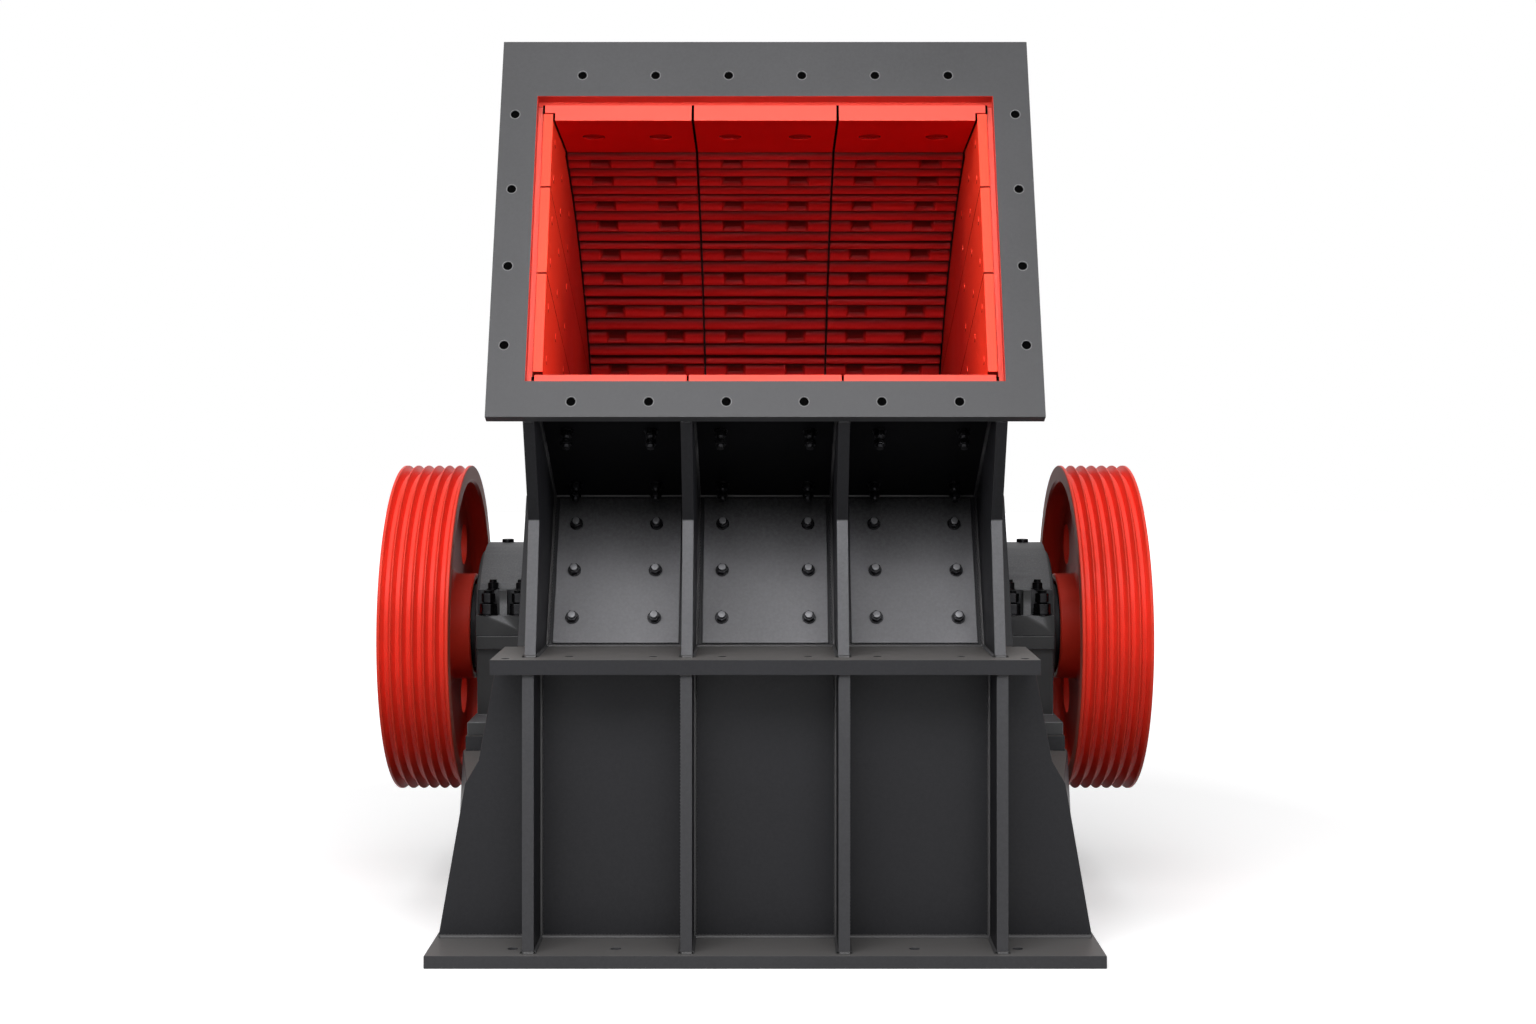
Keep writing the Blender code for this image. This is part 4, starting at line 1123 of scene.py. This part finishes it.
def buildSplitFlanges():
    middle, inset = (splitTop + splitUnder) / 2, split["endHoleInset"]
    for name, toward in (("front", 1), ("rear", -1)):
        low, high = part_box("split_flange_" + name)
        edge = low[1] if toward == 1 else high[1]
        bar = slabPiece(splitOutline(name, edge, toward), splitUnder, splitTop)
        places = [(x, split["holeInset"]) for x in split["holesX"]] + [(high[0] - inset, inset)]
        spots = [(side * x, edge + toward * y, middle) for x, y in places for side in (-1, 1)]
        bore(bar, spots, axisZ, split["holeRadius"], casing["splitThickness"])
        finishPiece([bar], "splitFlange_" + name, "charcoal_paint", "charcoal", "split_flange_" + name,
                    split["bevel"])


basePlate = {
    "ledge": 0.120,
    "wall": 0.030,
    "holeRadius": 0.016,
    "holesX": (0.465, 0.786),
    "holeInset": 0.092,
    "bevel": (0.0028, 35.0),
}


def buildBasePlate():
    low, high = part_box("base_plate")
    plate = boxPiece(low, high)
    half = casing["halfWidth"] - basePlate["ledge"]
    front = rotorAxis.y + casing["lowerFront"] + basePlate["wall"] + basePlate["ledge"]
    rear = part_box("lower_rear_wall")[0][1] - basePlate["ledge"]
    cutAway(plate, boxPiece((-half, front, -baseTop), (half, rear, 2 * baseTop)))
    inset = basePlate["holeInset"]
    spots = [(side * x, y, baseTop / 2) for x in basePlate["holesX"] for side in (-1, 1)
             for y in (low[1] + inset, high[1] - inset)]
    bore(plate, spots, axisZ, basePlate["holeRadius"], baseTop)
    finishPiece([plate], "basePlate", "charcoal_paint", "base", "base_plate", basePlate["bevel"])


cover = {
    "sideInset": 0.020,
    "footInset": 0.010,
    "kneeInset": 0.012,
    "thickness": 0.006,
    "bevel": (0.0026, 40.0),
}


def buildCoverPlates():
    lift, inset = lowerOut * cover["thickness"], cover["sideInset"]
    foot = frontFoot + lowerWay * cover["footInset"]
    knee = kneePoint - lowerWay * cover["kneeInset"]
    parts = [sectionPiece([foot, knee, knee + lift, foot + lift], [low + inset, high - inset])
             for low, high in bays[1:-1]]
    finishPiece(parts, "coverPlates", "panel_paint", "panel", None, cover["bevel"])


buildFeedFlange()
buildSplitFlanges()
buildBasePlate()
buildCoverPlates()
print("flanges, base plate and cover plates made")


# Bolts, nuts and studs

def nutPiece(acrossCorners, low, high):
    nut = cylinderPiece(acrossCorners / 2, low, high, 6)
    bevelEdges(nut, (high - low) * 0.10, 20.0)
    return nut


def studPiece(radius, low, high):
    profile = [(low, 0.0), (low, radius)]
    count = max(2, int((high - low) / 0.0032))       # turns of the thread
    pitch = (high - low) / count
    for index in range(count):
        x = low + pitch * index
        profile += [(x + pitch * 0.3, radius * 0.90), (x + pitch * 0.9, radius)]
    profile += [(high, radius * 0.86), (high, 0.0)]
    return moved(lathePiece(profile, 16), turned(-90.0, "Y"))


panelBolt = {
    "columns": (-0.634, -0.365, -0.143, 0.143, 0.365, 0.634),
    "lowerRows": (0.18, 0.49, 0.80),
    "overhangRows": (0.13, 0.68),
    "washer": (0.0225, -0.001, 0.0045),
    "washerBevel": (0.0014, 40.0),
    "nut": (0.038, 0.0045, 0.021),
    "secondNut": (0.038, 0.036, 0.052),
    "stud": (0.0118, 0.019, 0.031),
    "longStud": (0.0118, 0.019, 0.064),
}


def nutMaster(*more):
    washer = cylinderPiece(*panelBolt["washer"])
    bevelEdges(washer, *panelBolt["washerBevel"])
    return joinAll([washer, nutPiece(*panelBolt["nut"]), *more], "nutMaster")


def buildPanelBolts():
    short, stud = nutMaster(), studPiece(*panelBolt["stud"])
    long = nutMaster(nutPiece(*panelBolt["secondNut"]), studPiece(*panelBolt["longStud"]))
    bolts, studs = [], []
    rows = [(share, frontFoot + lowerOut * cover["thickness"], kneePoint - frontFoot, lowerOut, short)
            for share in panelBolt["lowerRows"]]
    rows += [(share, kneePoint, mouthFoot - kneePoint, upperOut, long) for share in panelBolt["overhangRows"]]
    for x in panelBolt["columns"]:
        for share, foot, span, out, master in rows:
            turn = Matrix.Rotation(random.uniform(0.0, 1.0), 4, "Z")
            spot = at(x, *(foot + span * share)) @ turnTo((0.0, *out)) @ turn
            bolts.append(copyOf(master, spot))
            if master == short:
                studs.append(copyOf(stud, spot))
    drop(short, long, stud)
    finishPiece(bolts, "panelNuts", "shaft_steel", "bolt", angle=30.0)
    finishPiece(studs, "panelStuds", "shaft_steel", "stud", angle=30.0)


buildPanelBolts()
print("panel bolts made")


# Plummer block bearings, drawn round the shaft's line

bearing = {
    "ends": (0.815, 0.990),
    "foot": (0.805, 1.000),
    "capRadius": 0.300,
    "body": 0.330,
    "wide": 0.355,
    "footLength": 0.500,
    "footTop": 0.045,
    "centreHeight": 0.320,
    "flangeLower": 0.047,
    "flangeUpper": 0.068,
    "joint": 0.0006,
    "shoulder": 0.153,
    "bore": 0.101,
    "coverRadius": 0.272,
    "coverOuter": 1.007,
    "coverChamfer": 0.004,
    "pocketRadius": 0.040,
    "pocketY": 0.324,
    "studsX": (0.848, 0.952),
    "shoulderBoltsX": (0.845, 0.942),
    "shoulderBoltY": 0.273,
    "footBolt": (0.9025, 0.425),
    "plug": (0.924, 0.021, 0.296, 0.312),
    "capBevel": (0.005, 32.0, 3),
    "housingBevel": (0.004, 32.0, 3),
}
boltStacks = {
    # kind, radius or width across corners, and ends above the seat
    "joint": (("nut", 0.062, 0.003, 0.040), ("stud", 0.019, 0.0, 0.048), ("nut", 0.050, 0.044, 0.076),
              ("washer", 0.034, -0.001, 0.004), ("stud", 0.017, 0.070, 0.086)),
    "shoulder": (("nut", 0.040, -0.002, 0.024), ("washer", 0.0225, -0.001, 0.003),
                 ("stud", 0.0135, 0.02, 0.034)),
    "foot": (("washer", 0.038, -0.001, 0.006, 32), ("nut", 0.062, 0.005, 0.036),
             ("stud", 0.0185, 0.03, 0.056)),
}


def saddle(start, joint):
    arc = cornerArc((0.0, 0.0), bearing["bore"], start, 0.0, 32)
    return [(-bearing["bore"], joint), *arc[1:-1], (bearing["bore"], joint)]


def capPiece():
    wide, body, shoulder, over, radius, joint = (
        bearing[key] for key in ("wide", "body", "shoulder", "flangeUpper", "capRadius", "joint"))
    tilt = math.degrees(math.asin(shoulder / radius))
    right = [(wide, joint), (wide, over), (body, over), (body, shoulder)]
    crown = cornerArc((0.0, 0.0), radius, tilt, 180.0 - tilt, 48)
    cap = sectionPiece(saddle(180.0, joint) + right + crown + mirror(right), bearing["ends"])
    for x in bearing["studsX"]:
        for side in (-1, 1):
            tool = cylinderPiece(bearing["pocketRadius"], over, shoulder + 0.05, 32)
            cutAway(cap, moved(tool, at(x, side * bearing["pocketY"], 0.0)))
    bevelEdges(cap, *bearing["capBevel"])
    return cap


def housingPiece():
    wide, body, under, joint = bearing["wide"], bearing["body"], -bearing["flangeLower"], -bearing["joint"]
    floor, top = -bearing["centreHeight"] + gap, -bearing["centreHeight"] + bearing["footTop"] + gap
    sunk = top - 0.01                    # the body reaches into its foot
    right = [(wide, joint), (wide, under), (body, under), (body, sunk)]
    housing = sectionPiece(saddle(-180.0, joint) + right + mirror(right), bearing["ends"])
    (near, far), length = bearing["foot"], bearing["footLength"]
    cutAway(housing, boxPiece((near, -length, floor), (far, length, top)), "UNION")
    bevelEdges(housing, *bearing["housingBevel"])
    return housing


def coverPiece():
    near, far, chamfer = bearing["ends"][1] + gap, bearing["coverOuter"], bearing["coverChamfer"]
    radius, within = bearing["coverRadius"], bearing["bore"]
    return lathePiece([(near, within), (near, radius), (far - chamfer, radius), (far, radius - chamfer),
                       (far, within), (near, within)], 96)


def bearingBolts():
    makers = {"nut": nutPiece, "stud": studPiece, "washer": cylinderPiece}
    spots = {key: [] for key in boltStacks}
    for side in (-1, 1):
        for x in bearing["studsX"]:
            turn = Matrix.Rotation(random.uniform(0.0, 1.0), 4, "Z")
            spots["joint"].append(at(x, side * bearing["pocketY"], bearing["flangeUpper"]) @ turn)
        for x in bearing["shoulderBoltsX"]:
            spots["shoulder"].append(at(x, side * bearing["shoulderBoltY"], bearing["shoulder"]))
        x, y = bearing["footBolt"]
        spots["foot"].append(at(x, side * y, -bearing["centreHeight"] + bearing["footTop"] + gap))
    parts = []
    for key, stack in boltStacks.items():
        master = joinAll([makers[kind](*sizes) for kind, *sizes in stack], key)
        parts.append(scatter(master, key, spots[key]))
    x, radius, low, high = bearing["plug"]
    plug = cylinderPiece(radius, low, high, 32)
    bevelEdges(plug, 0.004, 50.0, 3)
    return joinAll([*parts, moved(plug, at(x, 0.0, 0.0))], "bearingBolts")


def buildBearings():
    pieces = (("bearingCap_", capPiece(), "bearing_cap_", "casting"),
              ("bearingHousing_", housingPiece(), "bearing_base_", "casting"),
              ("bearingCover_", coverPiece(), "bearing_end_cover_", "cover"),
              ("bearingBolts_", bearingBolts(), None, "bolt"))
    for name, right, node, material in pieces:
        for obj, side in bothSides(right):
            finishPiece([obj], name + side, "bearing_casting" if node else "shaft_steel", material,
                        node and node + side, None, 32.0, "frame", onAxis)


buildBearings()
print("bearings made")


# Weld beads between the plates

weld = {
    "radius": 0.0075,
    "step": 0.011,
    "swell": 1.22,
    "sides": 8,
    "underInset": 0.002,
}


def weldLink():
    # one ripple: a short open tube with a fuller middle ring
    step, swell = weld["step"], weld["swell"]
    bpy.ops.mesh.primitive_cylinder_add(vertices=weld["sides"], radius=weld["radius"], depth=step,
                                        end_fill_type="NOTHING")
    link = bpy.context.object
    setMode("EDIT")
    bpy.ops.mesh.select_mode(type="VERT")
    selectAll()
    bpy.ops.mesh.bisect(plane_co=(0.0, 0.0, step * 0.12), plane_no=(0.0, 0.0, 1.0))
    selectParts(link, "VERT", lambda spot: abs(spot.z - step * 0.12) < 1e-5)
    bpy.ops.transform.resize(value=(swell, swell, 1.0))
    setMode("OBJECT")
    return moved(link, at(0.0, 0.0, step / 2))


def weldRun(link, start, end, scale):
    span = Vector(end) - Vector(start)
    count = max(1, round(span.length / weld["step"]))
    bead = copyOf(link)
    applyModifier(bead, "ARRAY", count=count, use_relative_offset=False, use_constant_offset=True,
                  constant_offset_displace=(0.0, 0.0, weld["step"]), use_merge_vertices=True,
                  merge_threshold=0.0001)
    setMode("EDIT")
    bpy.ops.mesh.select_mode(type="EDGE")
    bpy.ops.mesh.select_all(action="DESELECT")
    bpy.ops.mesh.select_non_manifold()
    bpy.ops.mesh.fill()
    closeShape()
    stretch = span.length / (count * weld["step"])
    return moved(bead, at(*start) @ turnTo(span) @ Matrix.Diagonal((scale, scale, stretch, 1.0)))


def acrossRuns(spans, point, scale):
    return [((low, *point), (high, *point), scale) for low, high in spans]


def ribRuns(points, scale):
    # along both sides of each rib
    return [((x + side * ribHalf, *a), (x + side * ribHalf, *b), scale)
            for x in ribs for side in (-1, 1) for a, b in pairs(points)]


def buildWelds():
    ribSpans, between = [(x - ribHalf, x + ribHalf) for x in ribs], bays[1:-1]
    ribFoot = fromSplit(casing["ribFoot"])
    front, rear = [], []
    for runs, wallY, ribY in (
            (front, casing["lowerFront"] + rotorAxis.y, casing["lowerRibFront"] + rotorAxis.y),
            (rear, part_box("lower_rear_wall")[1][1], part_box("lower_rear_rib_1")[1][1])):
        wall, foot = (wallY, baseTop), (ribY, baseTop)
        runs += acrossRuns(bays, wall, 1.25) + ribRuns((wall, (wallY, splitUnder)), 1.0)
        runs += ribRuns(sorted((foot, wall)), 0.9) + acrossRuns(ribSpans, foot, 0.9)
        if runs is front:
            runs += acrossRuns(between, (wallY, splitUnder), 1.0)
            runs += acrossRuns(ribSpans, (ribY + weld["underInset"], splitUnder), 0.6)
    front += acrossRuns(between, frontFoot, 1.0) + acrossRuns(between, kneePoint, 0.75)
    front += ribRuns((frontFoot, kneePoint, mouthFoot), 1.0) + ribRuns((ribFoot, frontFoot), 0.9)
    front += acrossRuns(ribSpans, ribFoot, 0.9)
    shell = backArc(shellOuter, 18)
    rear += ribRuns([topMouth(shellOuter, thick), *shell], 1.0) + acrossRuns(between, shell[-1], 1.0)
    link = weldLink()
    for name, runs in (("frontWelds", front), ("rearWelds", rear)):
        beads = joinAll([weldRun(link, *run) for run in runs], name)
        makeActive(beads)
        bpy.ops.object.shade_smooth()
        place(beads, name, "frame", "charcoal_paint", "weld")
    drop(link)


buildWelds()
print("welds made")


# Floor, lights and camera

studio = {
    "floorSize": 60.0,
    "floorColour": (0.90, 0.90, 0.905),
    "floorBounce": (0.04, 0.04, 0.042),
    "floorLift": 0.38,
    "floorFade": (2.6, 6.0),
    "skyTop": 0.45,
    "skySide": 0.12,
    "skyLow": 0.0,
    "softboxes": (
        # name, watts, size, place, aim and spread in degrees
        ("mainSoftbox", 480.0, (9.5, 3.0), (-1.2, -6.6, 5.8), (0.0, -0.3, 1.2), 180.0),
        ("overheadSoftbox", 170.0, (6.0, 3.5), (0.0, -1.6, 7.2), (0.0, -0.3, 1.2), 180.0),
        ("frontSoftbox", 7.0, (7.0, 2.5), (0.0, -9.0, 2.0), (0.0, -0.3, 1.2), 180.0),
        ("leftMouthSoftbox", 4.5, (1.2, 1.2), (-4.5, -5.0, 2.7), (0.69, -0.8, 2.0), 30.0),
        ("rightMouthSoftbox", 6.0, (1.2, 1.2), (4.5, -5.0, 2.7), (-0.69, -0.8, 2.0), 30.0),
        ("innerMouthSoftbox", 1.5, (1.6, 0.4), (0.0, -8.2, 2.8), (0.0, -1.0, 2.30), 11.0),
    ),
    "cameraBack": 7.508,
    "cameraHeight": 1.6857,
    "lens": 48.96,
    "shift": (0.0018, -0.0599),
    "white": (1.0, 1.0, 1.0, 1.0),
}


def seenDirectly(tree):
    # the camera sees the studio white, and so do reflections and glass
    path = tree.nodes.new("ShaderNodeLightPath").outputs
    total = calculate("MAXIMUM", path["Is Camera Ray"], path["Is Glossy Ray"])
    return calculate("MAXIMUM", total, path["Is Transmission Ray"])


def buildFloor():
    bpy.ops.mesh.primitive_plane_add(size=studio["floorSize"])
    floor = bpy.context.object
    floor.name = "studioFloor"
    material, shader, where = nodeTree("studioFloor")
    seen = seenDirectly(material.node_tree)
    distance = addNode("VectorMath", {0: where}, "Value", operation="LENGTH")
    lift = remap(distance, *studio["floorFade"], studio["floorLift"], 1.0)
    setInputs(shader, {"Base Color": mixColours(seen, studio["floorBounce"], studio["floorColour"]),
                       "Emission Strength": multiply(seen, lift), "Emission Color": studio["white"],
                       "Roughness": 0.9, "Specular IOR Level": 0.0})
    floor.data.materials.append(material)


def buildWorld():
    world = bpy.data.worlds.new("studio")
    bpy.context.scene.world = world
    world.use_nodes = True
    nodes = world.node_tree.nodes
    up = addNode("SeparateXYZ", {0: nodes.new("ShaderNodeTexCoord").outputs["Generated"]}, "Z")
    lift = remap(up, 0.0, 1.0, studio["skySide"], studio["skyTop"])
    low = remap(up, -0.4, 0.0, studio["skyLow"] - studio["skySide"], 0.0)
    background, white = nodes["Background"], nodes.new("ShaderNodeBackground")
    setInputs(background, {"Color": studio["white"], "Strength": calculate("ADD", lift, low)})
    setInputs(white, {"Color": studio["white"], "Strength": 1.0})
    mix = addNode("MixShader", {0: seenDirectly(world.node_tree), 1: background.outputs[0],
                                2: white.outputs[0]})
    setInputs(nodes["World Output"], {"Surface": mix})


def addSoftbox(name, power, size, location, target, spread):
    bpy.ops.object.light_add(type="AREA", location=location)
    lamp = bpy.context.object
    lamp.name = name
    lamp.data.shape = "RECTANGLE"
    lamp.data.size, lamp.data.size_y = size
    lamp.data.energy = power
    lamp.data.spread = math.radians(spread)
    lamp.rotation_euler = (Vector(target) - Vector(location)).to_track_quat("-Z", "Y").to_euler()


def buildCamera():
    bpy.ops.object.camera_add(location=(0.0, rotorAxis.y - studio["cameraBack"], studio["cameraHeight"]),
                              rotation=(math.radians(90.0), 0.0, 0.0))
    camera = bpy.context.object
    camera.name = "photoCamera"
    camera.data.lens = studio["lens"]
    camera.data.sensor_width = 36.0
    camera.data.shift_x, camera.data.shift_y = studio["shift"]
    bpy.context.scene.camera = camera


bpy.context.scene.view_settings.view_transform = "Standard"
buildFloor()
buildWorld()
for softbox in studio["softboxes"]:
    addSoftbox(*softbox)
buildCamera()
print("studio made")
